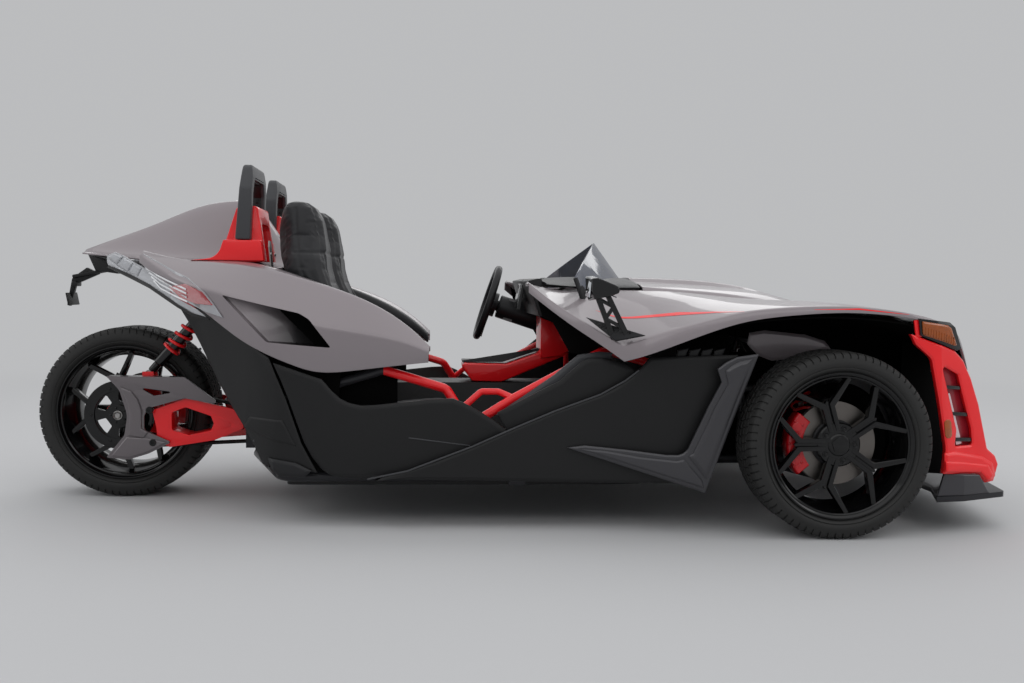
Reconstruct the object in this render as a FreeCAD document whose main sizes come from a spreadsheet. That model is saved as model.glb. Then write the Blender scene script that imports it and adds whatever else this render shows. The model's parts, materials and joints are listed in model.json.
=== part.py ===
import FreeCAD, Part
import math
import os
from FreeCAD import Placement, Rotation, Vector

# A three wheeled open roadster: two steered wheels in front, one belt-driven wheel behind, two seats side by side.
# Row frame: +X forward, +Y to the car's left, +Z up. The origin is on the ground below the middle of the car.
# All sizes are in millimetres.

SIZES = [
    # alias, value, what it is
    ("FrontAxleX", 1112, "front axle ahead of the middle of the car"),
    ("RearAxleX", -1555, "rear axle behind it, a wheelbase of 2667"),
    ("FrontTyreR", 330, "front tyre outer radius"),
    ("FrontTyreW", 225, "front tyre width"),
    ("FrontTrack", 1755, "between the front tyres' middles"),
    ("RearTyreR", 345, "rear tyre outer radius"),
    ("RearTyreW", 305, "rear tyre width"),
    ("FrontRimR", 258.5, "front rim flange radius, a 19 inch wheel"),
    ("RearRimR", 271.5, "rear rim flange radius, a 20 inch wheel"),
    ("SpokeCount", 5, "spokes in each wheel"),
    ("LugCircle", 114.3, "diameter of the circle of wheel nuts"),
    ("DiscR", 149, "brake disc radius"),
    ("DiscT", 24, "brake disc thickness"),
    ("KingpinY", 790, "steering axis from the centre line"),
    ("PulleyR", 126, "rear belt pulley radius"),
    ("BeltY", 214, "middle of the drive belt from the centre line"),
    ("BeltW", 34, "drive belt width"),
    ("FrontPulleyX", -935, "front belt pulley behind the middle of the car"),
    ("FrontPulleyZ", 300, "front belt pulley above the ground"),
    ("FrontPulleyR", 51, "front belt pulley radius"),
    ("PivotX", -1010, "swingarm pivot behind the middle of the car"),
    ("PivotZ", 300, "swingarm pivot above the ground"),
    ("SteerArm", 124, "steering arm's ball joint behind the kingpin"),
    ("RackZ", 295, "steering rack above the ground"),
    ("ShockFootY", 620, "front shock's foot from the centre line"),
    ("PanelT", 12, "thickness of the moulded body panels"),
    ("GroundClear", 130, "floor pan above the ground"),
    ("FloorT", 8, "thickness of the floor pan"),
    ("SeatY", 330, "seat middle from the centre line"),
    ("SteerWheelR", 175, "steering wheel radius"),
]

doc = FreeCAD.newDocument("ThreeWheeler")
sheet = doc.addObject("Spreadsheet::Sheet", "Sizes")
for row, (alias, value, meaning) in enumerate(SIZES, start=1):
    sheet.set(f"A{row}", meaning)
    sheet.set(f"B{row}", str(value))
    sheet.setAlias(f"B{row}", alias)
doc.recompute()
size = {alias: float(sheet.get(alias)) for alias, value, meaning in SIZES}

SIDES = (("left", 1), ("right", -1))
# Wishbones: height, inner pivots from the centre line, half the distance between the two inner pivots.
WISHBONE = ((188, 330, 140), (465, 380, 90))
PARTS = []


# ---------------------------------------------------------------- helpers

def outline_edges(outline):
    """Edges of a closed outline of (u, v) corners; a third value rounds that corner with an arc of that radius."""
    corners = []
    for i, point in enumerate(outline):
        here = Vector(point[0], point[1], 0)
        radius = point[2] if len(point) > 2 else 0
        if not radius:
            corners.append((here, here, None))
            continue
        before = Vector(outline[i - 1][0], outline[i - 1][1], 0)
        after = Vector(outline[(i + 1) % len(outline)][0], outline[(i + 1) % len(outline)][1], 0)
        back = (before - here).normalize()
        on = (after - here).normalize()
        half = back.getAngle(on) / 2
        reach = radius / math.tan(half)
        middle = (back + on).normalize()
        centre = here + middle * (radius / math.sin(half))
        first, last = here + back * reach, here + on * reach
        corners.append((first, last, Part.Arc(first, centre - middle * radius, last)))
    edges = []
    for i, (_, leave, arc) in enumerate(corners):
        if arc:
            edges.append(arc)
        arrive = corners[(i + 1) % len(corners)][0]
        if (arrive - leave).Length > 1e-6:
            edges.append(Part.LineSegment(leave, arrive))
    return edges


def circle_outline(x, y, radius):
    """A whole circle, where an outline is wanted."""
    return Part.Circle(Vector(x, y, 0), Vector(0, 0, 1), radius)


def new_body(label, whole=True):
    """A body that is a part by itself, or with whole=False the left half of a pair."""
    body = doc.addObject("PartDesign::Body", label)
    body.Label = label
    if whole:
        PARTS.append(body)
    return body


def pair(label, left):
    """One part of two solids: the left one and its mirror image on the right."""
    right = doc.addObject("Part::Mirroring", label + "_right")
    right.Source = left
    right.Normal = Vector(0, 1, 0)
    both = doc.addObject("Part::Compound", label)
    both.Label = label
    both.Links = [left, right]
    PARTS.append(both)


def origin_item(body, role):
    return [item for item in body.Origin.OriginFeatures if item.Role == role][0]


def sketch(body, role, *outlines, lift=0.0, turn=None):
    """A sketch on one of the body's own origin planes, lifted along the plane's normal. XZ_Plane's normal is -Y."""
    made = body.newObject("Sketcher::SketchObject", "Outline")
    made.AttachmentSupport = [(origin_item(body, role), "")]
    made.MapMode = "FlatFace"
    made.AttachmentOffset = Placement(Vector(0, 0, lift), turn or Rotation())
    for outline in outlines:
        edges = outline if isinstance(outline, Part.Circle) else outline_edges(outline)
        made.addGeometry(edges, False)
    return made


def feature(body, kind, profile, reverse=False, **bound):
    """A PartDesign feature on a sketch. Each keyword is a property bound to an expression or set to a number."""
    made = body.newObject("PartDesign::" + kind, kind)
    made.Profile = profile
    made.Reversed = reverse
    for prop, value in bound.items():
        if isinstance(value, str):
            made.setExpression(prop, value)
        else:
            setattr(made, prop, value)
    return made


def revolve(body, kind, *outlines, role="XY_Plane", axis="V_Axis", turn=None):
    """A Revolution or Groove of (radius, along) outlines about the sketch's vertical axis."""
    profile = sketch(body, role, *outlines, turn=turn)
    made = body.newObject("PartDesign::" + kind, kind)
    made.Profile = profile
    made.ReferenceAxis = (profile, [axis])
    made.Angle = 360
    return made


def pattern(body, original, count, role="Y_Axis"):
    made = body.newObject("PartDesign::PolarPattern", "Around")
    made.Originals = [original]
    made.Axis = (origin_item(body, role), [""])
    made.Angle = 360
    if isinstance(count, str):
        made.setExpression("Occurrences", count)
    else:
        made.Occurrences = count
    body.Tip = made
    return made


def plate(body, role, outline, lift, length, *holes, turn=None):
    """A pad of an outline, with any holes, from a plane lifted along its normal."""
    profile = sketch(body, role, outline, *holes, lift=lift, turn=turn)
    return feature(body, "Pad", profile, Length=length)


def loft(body, sections, role="YZ_Plane", ruled=False):
    """A loft through closed outlines, each given as (distance along the plane's normal, outline)."""
    profiles = [sketch(body, role, outline, lift=lift) for lift, outline in sections]
    made = body.newObject("PartDesign::AdditiveLoft", "AdditiveLoft")
    made.Profile = profiles[0]
    made.Sections = profiles[1:]
    made.Ruled = ruled
    return made


def place(obj, x="0", y="0", z="0"):
    """Binds the part's place to expressions in the sheet's names."""
    for name, text in (("x", x), ("y", y), ("z", z)):
        obj.setExpression("Placement.Base." + name, text)


def solid_part(label, shape):
    """A part whose shape neither a body nor a primitive makes as simply."""
    made = doc.addObject("Part::Feature", label)
    made.Label = label
    made.Shape = shape
    PARTS.append(made)
    return made


def bent_path(points, bend):
    """A wire of straight runs through the points, joined by tangent arcs of the bend radius."""
    spots = [Vector(*p) for p in points]
    edges = []
    start = spots[0]
    for before, here, after in zip(spots, spots[1:], spots[2:]):
        back = (before - here).normalize()
        on = (after - here).normalize()
        half = back.getAngle(on) / 2
        reach = bend / math.tan(half)
        middle = (back + on).normalize()
        centre = here + middle * (bend / math.sin(half))
        first, last = here + back * reach, here + on * reach
        edges.append(Part.LineSegment(start, first).toShape())
        edges.append(Part.Arc(first, centre - middle * bend, last).toShape())
        start = last
    edges.append(Part.LineSegment(start, spots[-1]).toShape())
    return Part.Wire(edges)


def tube(points, radius, bend=60.0):
    """A round bar along straight runs and arcs."""
    path = bent_path(points, bend)
    first = path.Edges[0]
    ring = Part.Wire(Part.makeCircle(radius, first.valueAt(first.FirstParameter),
                                     first.tangentAt(first.FirstParameter)))
    return path.makePipeShell([ring], True, False)


def rod(start, end, radius):
    """A straight round bar between two points."""
    run = Vector(*end) - Vector(*start)
    return Part.makeCylinder(radius, run.Length, Vector(*start), run)


def fused(shapes):
    whole = shapes[0].multiFuse(shapes[1:]) if len(shapes) > 1 else shapes[0]
    return whole.removeSplitter()


def mirrored(shape, sign):
    """The shape made for the left side, or its mirror image for the right."""
    return shape if sign > 0 else shape.mirror(Vector(0, 0, 0), Vector(0, 1, 0))


def strip(points, thickness):
    """The closed section of a moulded panel: its outer line, and the same line moved to its right-hand side."""
    spots = [Vector(p[0], p[1], 0) for p in points]
    inner = []
    for i, here in enumerate(spots):
        runs = []
        if i:
            runs.append((here - spots[i - 1]).normalize())
        if i < len(spots) - 1:
            runs.append((spots[i + 1] - here).normalize())
        normals = [Vector(run.y, -run.x, 0) for run in runs]
        middle = sum(normals[1:], normals[0]).normalize()
        inner.append(here + middle * (thickness / middle.dot(normals[0])))
    return [(p.x, p.y) for p in spots] + [(p.x, p.y) for p in reversed(inner)]


def flip(outline, sign):
    """An outline seen from the front, made for the left side, or its mirror image for the right."""
    return outline if sign > 0 else [(-p[0], *p[1:]) for p in reversed(outline)]


def panel_loft(label, stations, whole=False):
    """A moulded panel along the car: each station is its x and its outer line as (across, up) points."""
    body = new_body(label, whole)
    loft(body, [(x, strip(line, size["PanelT"])) for x, line in stations], ruled=True)
    return body


def trimmed(body, keep, *holes, reach=3000, across=1100):
    """Cuts away all of a body that is outside an outline seen from the side, and any holes in it."""
    around = [(-reach, -reach), (reach, -reach), (reach, reach), (-reach, reach)]
    feature(body, "Pocket", sketch(body, "XZ_Plane", around, keep, lift=across), Length=2 * across)
    for hole in holes:
        feature(body, "Pocket", sketch(body, "XZ_Plane", hole, lift=across), Length=2 * across)


def side_panels(label, plan, keep, *holes, thickness=12, low=100, high=1050):
    """A pair of upright panels that follow a plan line of (x, y) points, trimmed to an outline seen from the side."""
    body = new_body(label + "_left", whole=False)
    plate(body, "XY_Plane", strip(plan, thickness), low, high - low)
    trimmed(body, keep, *holes)
    pair(label, body)


# ---------------------------------------------------------------- wheels

def tyre(label, width, radius, bead, x, y):
    """A tyre: a tread, rounded shoulders, and sidewalls down to two beads, open inside."""
    body = new_body(label)
    half = size[width] / 2
    outer = size[radius]
    seat = size[bead]
    side = [(seat - 15, half - 16), (seat + 1, half - 14), (seat + 10, half - 4), (seat + 32, half),
            (outer - 16, half - 6), (outer - 4, half - 23), (outer, half - 52)]
    lining = [(outer - 18, half - 50), (outer - 22, half - 29), (seat + 32, half - 15), (seat + 5, half - 27),
              (seat - 15, half - 30)]
    profile = side + [(r, -y) for r, y in reversed(side)] + [(r, -y) for r, y in reversed(lining)] + lining
    revolve(body, "Revolution", profile)
    place(body, x=x, y=y, z="Sizes." + radius)


def rim(label, flange, half, dish, bore, sign, x, y, z):
    """A wheel: a hub, five forked spokes set towards the outer side, a drop-centre barrel and a nut circle."""
    body = new_body(label)
    edge = size[flange]
    hub = [(bore, dish - 30), (78, dish - 30), (78, dish + 2), (36, dish + 8), (bore, dish + 8)]
    hub = [(r, y * sign) for r, y in hub]
    revolve(body, "Revolution", hub)
    reach = edge - 26
    fork = [(50, 22), (132, 23), (reach - 11, 94), (reach - 2, 70), (166, 13), (158, 0)]
    fork = [(-u, v) for u, v in fork] + [(-u, -v) for u, v in reversed(fork[:-1])]
    spoke_sketch = sketch(body, "XZ_Plane", fork, lift=-sign * (dish - 30) if sign > 0 else dish - 30)
    spoke = feature(body, "Pad", spoke_sketch, reverse=sign > 0, Length=62)
    pattern(body, spoke, "Sizes.SpokeCount")
    front = [(76, dish + 1), (150, dish + 12), (edge - 18, dish + 32), (edge - 18, dish + 80), (76, dish + 80)]
    revolve(body, "Groove", [(r, y * sign) for r, y in front])
    back = [(79, dish - 60), (79, dish - 24), (150, dish - 8), (edge - 20, dish + 14), (edge - 20, dish - 60)]
    revolve(body, "Groove", [(r, y * sign) for r, y in back])
    barrel = [(edge, -half), (edge, -half + 7), (edge - 17, -half + 9), (edge - 17, -half + 36),
              (edge - 36, -half + 52), (edge - 36, half - 66), (edge - 17, half - 36), (edge - 17, half - 9),
              (edge, half - 7), (edge, half), (edge - 8, half), (edge - 24, half - 8), (edge - 25, half - 38),
              (edge - 44, half - 64), (edge - 44, -half + 50), (edge - 25, -half + 34), (edge - 24, -half + 8),
              (edge - 8, -half)]
    revolve(body, "Revolution", [(r, y * sign) for r, y in barrel])
    lug = [(size["LugCircle"] / 2 * math.cos(math.pi / 5) + 7 * math.cos(a * math.pi / 4),
            size["LugCircle"] / 2 * math.sin(math.pi / 5) + 7 * math.sin(a * math.pi / 4)) for a in range(8)]
    doc.recompute()
    lug_sketch = sketch(body, "XZ_Plane", lug, lift=-sign * (dish + 20))
    lug_cut = feature(body, "Pocket", lug_sketch, reverse=sign > 0, Length=60)
    pattern(body, lug_cut, 5)
    place(body, x=x, y=y, z=z)


def disc(label, radius, thick, bore, hat_to, sign, x, y, z):
    """A brake disc: a friction ring on a top-hat that reaches out to the wheel's mounting face."""
    body = new_body(label)
    outer = size[radius]
    ring = [(bore, hat_to - 8), (bore, hat_to), (84, hat_to), (84, thick - 5), (outer, thick - 5), (outer, -5),
            (76, -5), (76, hat_to - 8)]
    revolve(body, "Revolution", [(r, y * sign) for r, y in ring])
    place(body, x=x, y=y, z=z)


for side, sign in SIDES:
    wheel_y = f"{sign} * Sizes.FrontTrack / 2"
    tyre("front_tyre_" + side, "FrontTyreW", "FrontTyreR", "FrontRimR", "Sizes.FrontAxleX", wheel_y)
    rim("front_rim_" + side, "FrontRimR", 107, 68, 25.0, sign, "Sizes.FrontAxleX", wheel_y, "Sizes.FrontTyreR")
    disc("front_disc_" + side, "DiscR", 24, 25.0, 36, sign, "Sizes.FrontAxleX", wheel_y, "Sizes.FrontTyreR")
tyre("rear_tyre", "RearTyreW", "RearTyreR", "RearRimR", "Sizes.RearAxleX", "0")
rim("rear_rim", "RearRimR", 146, 70, 20.0, -1, "Sizes.RearAxleX", "0", "Sizes.RearTyreR")

# ---------------------------------------------------------------- rear drive

def rear_pulley():
    """The toothed belt's driven pulley on the right of the rear wheel, with its axle through the wheel."""
    body = new_body("rear_pulley")
    middle = size["BeltY"]
    outer = size["PulleyR"]
    half = size["BeltW"] / 2
    section = [(0, -middle - 34), (18, -middle - 34), (18, -middle - 24), (40, -middle - 24),
               (40, -middle - 8), (96, -middle - 8), (96, -middle - half - 3), (outer + 7, -middle - half - 3),
               (outer + 7, -middle - half), (outer, -middle - half), (outer, -middle + half),
               (outer + 7, -middle + half), (outer + 7, -middle + half + 3), (96, -middle + half + 3),
               (96, -middle + 4), (40, -middle + 4), (40, -middle + half + 4), (19.95, -middle + half + 4),
               (19.95, 240), (0, 240)]
    revolve(body, "Revolution", section)
    web_hole = [(52, 20, 6), (90, 34, 8), (90, -34, 8), (52, -20, 6)]
    cut = feature(body, "Pocket", sketch(body, "XZ_Plane", web_hole, lift=middle + 40), Length=60)
    pattern(body, cut, 5)
    place(body, x="Sizes.RearAxleX", z="Sizes.RearTyreR")


def belt_outline(front, front_r, rear, rear_r):
    """The two straight runs and two arcs of a belt round two pulleys, as a closed wire in the XZ plane."""
    run = rear - front
    lean = math.asin((rear_r - front_r) / run.Length)
    along = math.atan2(run.z, run.x)

    def spot(centre, radius, angle):
        return centre + Vector(math.cos(angle), 0, math.sin(angle)) * radius

    up, down = along - math.pi / 2 - lean, along + math.pi / 2 + lean
    front_up, rear_up = spot(front, front_r, up), spot(rear, rear_r, up)
    rear_down, front_down = spot(rear, rear_r, down), spot(front, front_r, down)
    edges = [Part.makeLine(front_up, rear_up),
             Part.Arc(rear_up, spot(rear, rear_r, along), rear_down).toShape(),
             Part.makeLine(rear_down, front_down),
             Part.Arc(front_down, spot(front, front_r, along + math.pi), front_up).toShape()]
    return Part.Wire(edges)


def drive_belt():
    """The toothed belt: one closed loop of even thickness round both pulleys."""
    front = Vector(size["FrontPulleyX"], 0, size["FrontPulleyZ"])
    rear = Vector(size["RearAxleX"], 0, size["RearTyreR"])
    inner = (size["FrontPulleyR"] + 1, size["PulleyR"] + 1)
    thick = 9
    face = Part.Face(belt_outline(front, inner[0] + thick, rear, inner[1] + thick))
    loop = face.cut(Part.Face(belt_outline(front, inner[0], rear, inner[1])))
    width = size["BeltW"] - 2
    band = loop.extrude(Vector(0, width, 0))
    band.translate(Vector(0, -size["BeltY"] - width / 2, 0))
    solid_part("drive_belt", band)


def angle_drive():
    """The gear case behind the cabin that turns the drive across to the belt, with its pulley."""
    x, z, pulley = size["FrontPulleyX"], size["FrontPulleyZ"], size["FrontPulleyR"]
    body = new_body("angle_drive")
    case = [(x - 32, z - 70, 20), (x + 74, z - 70, 20), (x + 74, z + 85, 30), (x - 32, z + 85, 30)]
    plate(body, "XZ_Plane", case, -150, 300)
    shaft = sketch(body, "XZ_Plane", circle_outline(x, z, 24), lift=150)
    feature(body, "Pad", shaft, Length=88)
    wheel = sketch(body, "XZ_Plane", circle_outline(x, z, pulley), lift=size["BeltY"] - size["BeltW"] / 2 - 2)
    feature(body, "Pad", wheel, Length=38)


def side_face(outline, y_from, y_to, *holes):
    """A flat plate standing along the car: a side outline with holes, between two distances from the middle."""
    face = Part.Face(Part.Wire([edge.toShape() for edge in outline_edges(outline)]))
    for hole in holes:
        face = face.cut(Part.Face(Part.Wire([edge.toShape() for edge in outline_edges(hole)])))
    face.rotate(Vector(0, 0, 0), Vector(1, 0, 0), 90)
    stood = face.extrude(Vector(0, y_to - y_from, 0))
    stood.translate(Vector(0, y_from, 0))
    return stood


def swingarm():
    """A welded fork: a pivot tube across the car, an arm on each side of the wheel, and an outer arm plate
    whose link passes through the belt's loop."""
    axle_x, axle_z = size["RearAxleX"], size["RearTyreR"]
    pivot_x, pivot_z = size["PivotX"], size["PivotZ"]
    arm = [(pivot_x + 4, pivot_z - 38, 20), (-1250, 244, 60), (-1400, 262, 40), (axle_x + 20, axle_z - 52, 30),
           (axle_x - 58, axle_z - 30, 20), (axle_x - 58, axle_z + 30, 20), (axle_x + 20, axle_z + 52, 30),
           (-1400, 372, 40), (-1279, 400, 60), (pivot_x + 4, pivot_z + 42, 20)]
    window = [(-1112, 306, 5), (-1268, 271, 15), (-1337, 291, 15), (-1337, 362, 15), (-1283, 382, 15),
              (-1112, 322, 5)]
    outer = [(-1056, 300, 8), (-1170, 252, 30), (-1345, 224, 10), (-1393, 244, 10), (-1396, 300, 120),
             (-1412, 370, 10), (-1279, 418, 20), (-1080, 371, 20)]
    link = [(-1068, 285, 8), (-1345, 256, 8), (-1385, 280, 8), (-1385, 355, 8), (-1290, 384, 8), (-1068, 332, 8)]
    shock_ear = [(-1470, 366), (-1464, 518, 10), (-1416, 518, 10), (-1390, 366)]
    pieces = [side_face(arm, low, high, window) for low, high in ((-188, -166), (166, 188))]
    pieces += [side_face(outer, -286, -262, window), side_face(link, -264, -187, window)]
    pieces.append(side_face(shock_ear, -188, -170))
    pieces.append(Part.makeBox(44, 50, 10, Vector(-1462, -236, 485)))
    pieces.append(Part.makeBox(44, 6, 32, Vector(-1462, -236, 486)))
    pieces.append(Part.makeCylinder(6, 60, Vector(-1440, -236, 510), Vector(0, 1, 0)))
    pieces.append(Part.makeCylinder(34, 376, Vector(pivot_x, -188, pivot_z), Vector(0, 1, 0)))
    pieces.append(side_face([(-1060, 330), (-1130, 330, 20), (-1150, 392), (-1090, 392)], -188, 188))
    whole = pieces[0]
    for piece in pieces[1:]:
        whole = whole.fuse(piece)
    for spot_x, spot_z in ((pivot_x, pivot_z), (axle_x, axle_z)):
        whole = whole.cut(Part.makeCylinder(20, 400, Vector(spot_x, -200, spot_z), Vector(0, 1, 0)))
    solid_part("swingarm", whole)


def swingarm_cover():
    """The belt guard: a faceted side plate hung outside the arm, with a wedge-shaped window."""
    body = new_body("swingarm_cover")
    guard = [(-1584, 504, 6), (-1284, 502, 20), (-1141, 392, 8), (-1284, 419, 20), (-1425, 379, 20), (-1440, 350, 20),
             (-1440, 292, 20), (-1335, 245, 6), (-1421, 201, 20), (-1498, 177, 10), (-1586, 185, 4),
             (-1516, 272, 30), (-1504, 351, 90), (-1534, 450, 60)]
    window = [(-1460, 461, 4), (-1317, 442, 4), (-1402, 428, 4)]
    plate(body, "XZ_Plane", guard, 288, 13, window)
    flange = [(-1584, 504), (-1300, 502), (-1300, 494), (-1582, 496)]
    plate(body, "XZ_Plane", flange, 240, 50)
    for x, z in ((-1418, 372), (-1405, 244)):
        boss = sketch(body, "XZ_Plane", circle_outline(x, z, 13), lift=286)
        feature(body, "Pad", boss, Length=18)


def rear_brake():
    """The rear disc on the left of the wheel, and its caliper on the left arm."""
    x, z = size["RearAxleX"], size["RearTyreR"]
    body = new_body("rear_disc")
    revolve(body, "Revolution", [(20, 200), (20, 212), (62, 212), (62, 214), (135, 214), (135, 206), (62, 206),
                                 (62, 200)])
    vent = sketch(body, "XZ_Plane", circle_outline(96, 0, 11), lift=-240)
    hole = feature(body, "Pocket", vent, reverse=True, Length=60)
    pattern(body, hole, 8)
    place(body, x="Sizes.RearAxleX", z="Sizes.RearTyreR")
    caliper_body = new_body("rear_caliper")
    plate(caliper_body, "XZ_Plane", [(-1446, 290, 12), (-1384, 300, 12), (-1384, 390, 12), (-1446, 400, 12)], -246, 58)
    slot = [(-1480, 200), (-1406, 200), (-1406, 220), (-1480, 220)]
    feature(caliper_body, "Pocket", sketch(caliper_body, "XY_Plane", slot, lift=500), Length=300)


def shock(foot, head, radius, eye_along, sign=1):
    """A spring and damper between two eyes: its rod, body, spring seats and a coil spring's outer form."""
    start, end = Vector(*foot), Vector(*head)
    run = end - start
    length = run.Length
    unit = Vector(run).normalize()
    stations = ((0.02, 0.96, 0.28), (0.06, 0.20, 0.60), (0.22, 0.04, 1.0), (0.26, 0.50, 0.84), (0.76, 0.04, 1.0))
    shapes = [Part.makeCylinder(radius * share, length * run_share, start + unit * length * begin, unit)
              for begin, run_share, share in stations]
    across = Vector(*eye_along)
    shapes += [Part.makeCylinder(14, 28, spot - across * 14, across) for spot in (start, end)]
    whole = fused(shapes)
    for spot in (start, end):
        whole = whole.cut(Part.makeCylinder(6.1, 30, spot - across * 15, across))
    return mirrored(whole, sign)


# ---------------------------------------------------------------- front suspension and steering

def knuckle(side, sign):
    """A steering knuckle: an upright on the kingpin line, a bearing boss with its spindle, the caliper's
    carrier and a steering arm."""
    x, y, z = size["FrontAxleX"], size["KingpinY"], size["FrontTyreR"]
    wheel_y = size["FrontTrack"] / 2
    upright = Part.makeBox(44, 34, 246, Vector(x - 22, y - 17, z - 127))
    boss = Part.makeCylinder(46, 62, Vector(x, y + 10, z), Vector(0, 1, 0))
    spindle = Part.makeCylinder(24.95, wheel_y + 74 - y, Vector(x, y, z), Vector(0, 1, 0))
    pins = [Part.makeCylinder(8, 40, Vector(x, y, low), Vector(0, 0, 1)) for low in (z - 155, z + 108)]
    reach = size["SteerArm"]
    arm = rod((x - 10, y, z - 60), (x - reach, y, z - 60), 13)
    ring = Part.makeCylinder(17, 24, Vector(x - reach, y, z - 72), Vector(0, 0, 1))
    carrier = side_face([(x - 20, z - 56, 10), (x - 150, z - 66, 16), (x - 168, z, 60), (x - 150, z + 66, 16),
                         (x - 20, z + 56, 10)], y + 36, wheel_y - 30)
    whole = fused([upright, boss, spindle, arm, ring, carrier] + pins)
    solid_part("knuckle_" + side, mirrored(whole, sign))


def caliper(side, sign):
    """A brake caliper that straddles the rear edge of the disc."""
    body = new_body("caliper_" + side)
    inner, outer, slot = 94, 177, 156
    section = [(-inner, -30), (-inner - 6, -30), (-outer, -30), (-outer, 36), (-outer + 8, 43), (-inner, 43),
               (-inner, 24), (-slot, 24), (-slot, -10), (-inner, -10)]
    bow = revolve(body, "Revolution", [(r, y * sign) for r, y in section])
    bow.Angle = 78
    bow.Midplane = True
    place(body, x="Sizes.FrontAxleX", y=f"{sign} * Sizes.FrontTrack / 2", z="Sizes.FrontTyreR")


def wishbones():
    """Four welded wishbones, an upper and a lower on each side, each with a boss round the kingpin and
    a bored tube at each inner pivot."""
    x, y, z = size["FrontAxleX"], size["KingpinY"], size["FrontTyreR"]
    shapes = []
    for level, inner, spread in WISHBONE:
        pieces = [Part.makeCylinder(22, 26, Vector(x, y, level - 13), Vector(0, 0, 1))]
        for way in (-1, 1):
            foot = Vector(x + way * spread, inner, level)
            pieces.append(rod(foot, (x, y, level), 14))
            pieces.append(Part.makeCylinder(18, 60, foot - Vector(30, 0, 0), Vector(1, 0, 0)))
        if level < z:
            share = (size["ShockFootY"] - inner) / (y - inner)
            half = spread * (1 - share)
            pieces.append(rod((x - half, size["ShockFootY"], level), (x + half, size["ShockFootY"], level), 13))
            for way in (-1, 1):
                pieces.append(Part.makeBox(6, 34, 48, Vector(x + way * 19 - 3, size["ShockFootY"] - 17, level)))
            pieces.append(rod((x - 22, size["ShockFootY"], level + 34), (x + 22, size["ShockFootY"], level + 34), 6))
        arm = fused(pieces)
        arm = arm.cut(Part.makeCylinder(8.1, 60, Vector(x, y, level - 30), Vector(0, 0, 1)))
        for way in (-1, 1):
            arm = arm.cut(Part.makeCylinder(8.1, 80, Vector(x + way * spread - 40, inner, level), Vector(1, 0, 0)))
        shapes += [arm, mirrored(arm, -1)]
    solid_part("wishbones", Part.makeCompound(shapes))


def steering():
    """The rack housing across the car, and the rack with its tie rods in one straight bar."""
    x, z = size["FrontAxleX"] - size["SteerArm"], size["RackZ"]
    housing = Part.makeCylinder(28, 560, Vector(x, -280, z), Vector(0, 1, 0))
    for at in (-286, 262):
        housing = housing.fuse(Part.makeCylinder(32, 24, Vector(x, at, z), Vector(0, 1, 0)))
    pinion = rod((x - 8, 180, z + 16), (x - 50, 214, z + 92), 25)
    housing = housing.fuse(pinion).cut(Part.makeCylinder(12.1, 640, Vector(x, -320, z), Vector(0, 1, 0)))
    solid_part("steering_rack", housing.removeSplitter())
    y = size["KingpinY"]
    bar = [Part.makeCylinder(12, 2 * y, Vector(x, -y, z), Vector(0, 1, 0))]
    for sign in (1, -1):
        bar.append(Part.makeCylinder(17, 24, Vector(x, sign * y, z - 10), Vector(0, 0, 1)))
    solid_part("tie_rods", fused(bar))


rear_pulley()
drive_belt()
angle_drive()
swingarm()
swingarm_cover()
rear_brake()
solid_part("rear_shock", shock((-1440, -212, 510), (-1235, -212, 740), 34, (0, 1, 0)))
for side, sign in SIDES:
    knuckle(side, sign)
    caliper(side, sign)
wishbones()
steering()
shock_foot = (size["FrontAxleX"], size["ShockFootY"], size["FrontTyreR"] - 108)
shock_head = (size["FrontAxleX"], 440, 602)
front_shocks = [shock(shock_foot, shock_head, 42, (1, 0, 0), sign) for side, sign in SIDES]
solid_part("front_shocks", Part.makeCompound(front_shocks))

# ---------------------------------------------------------------- chassis

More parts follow.
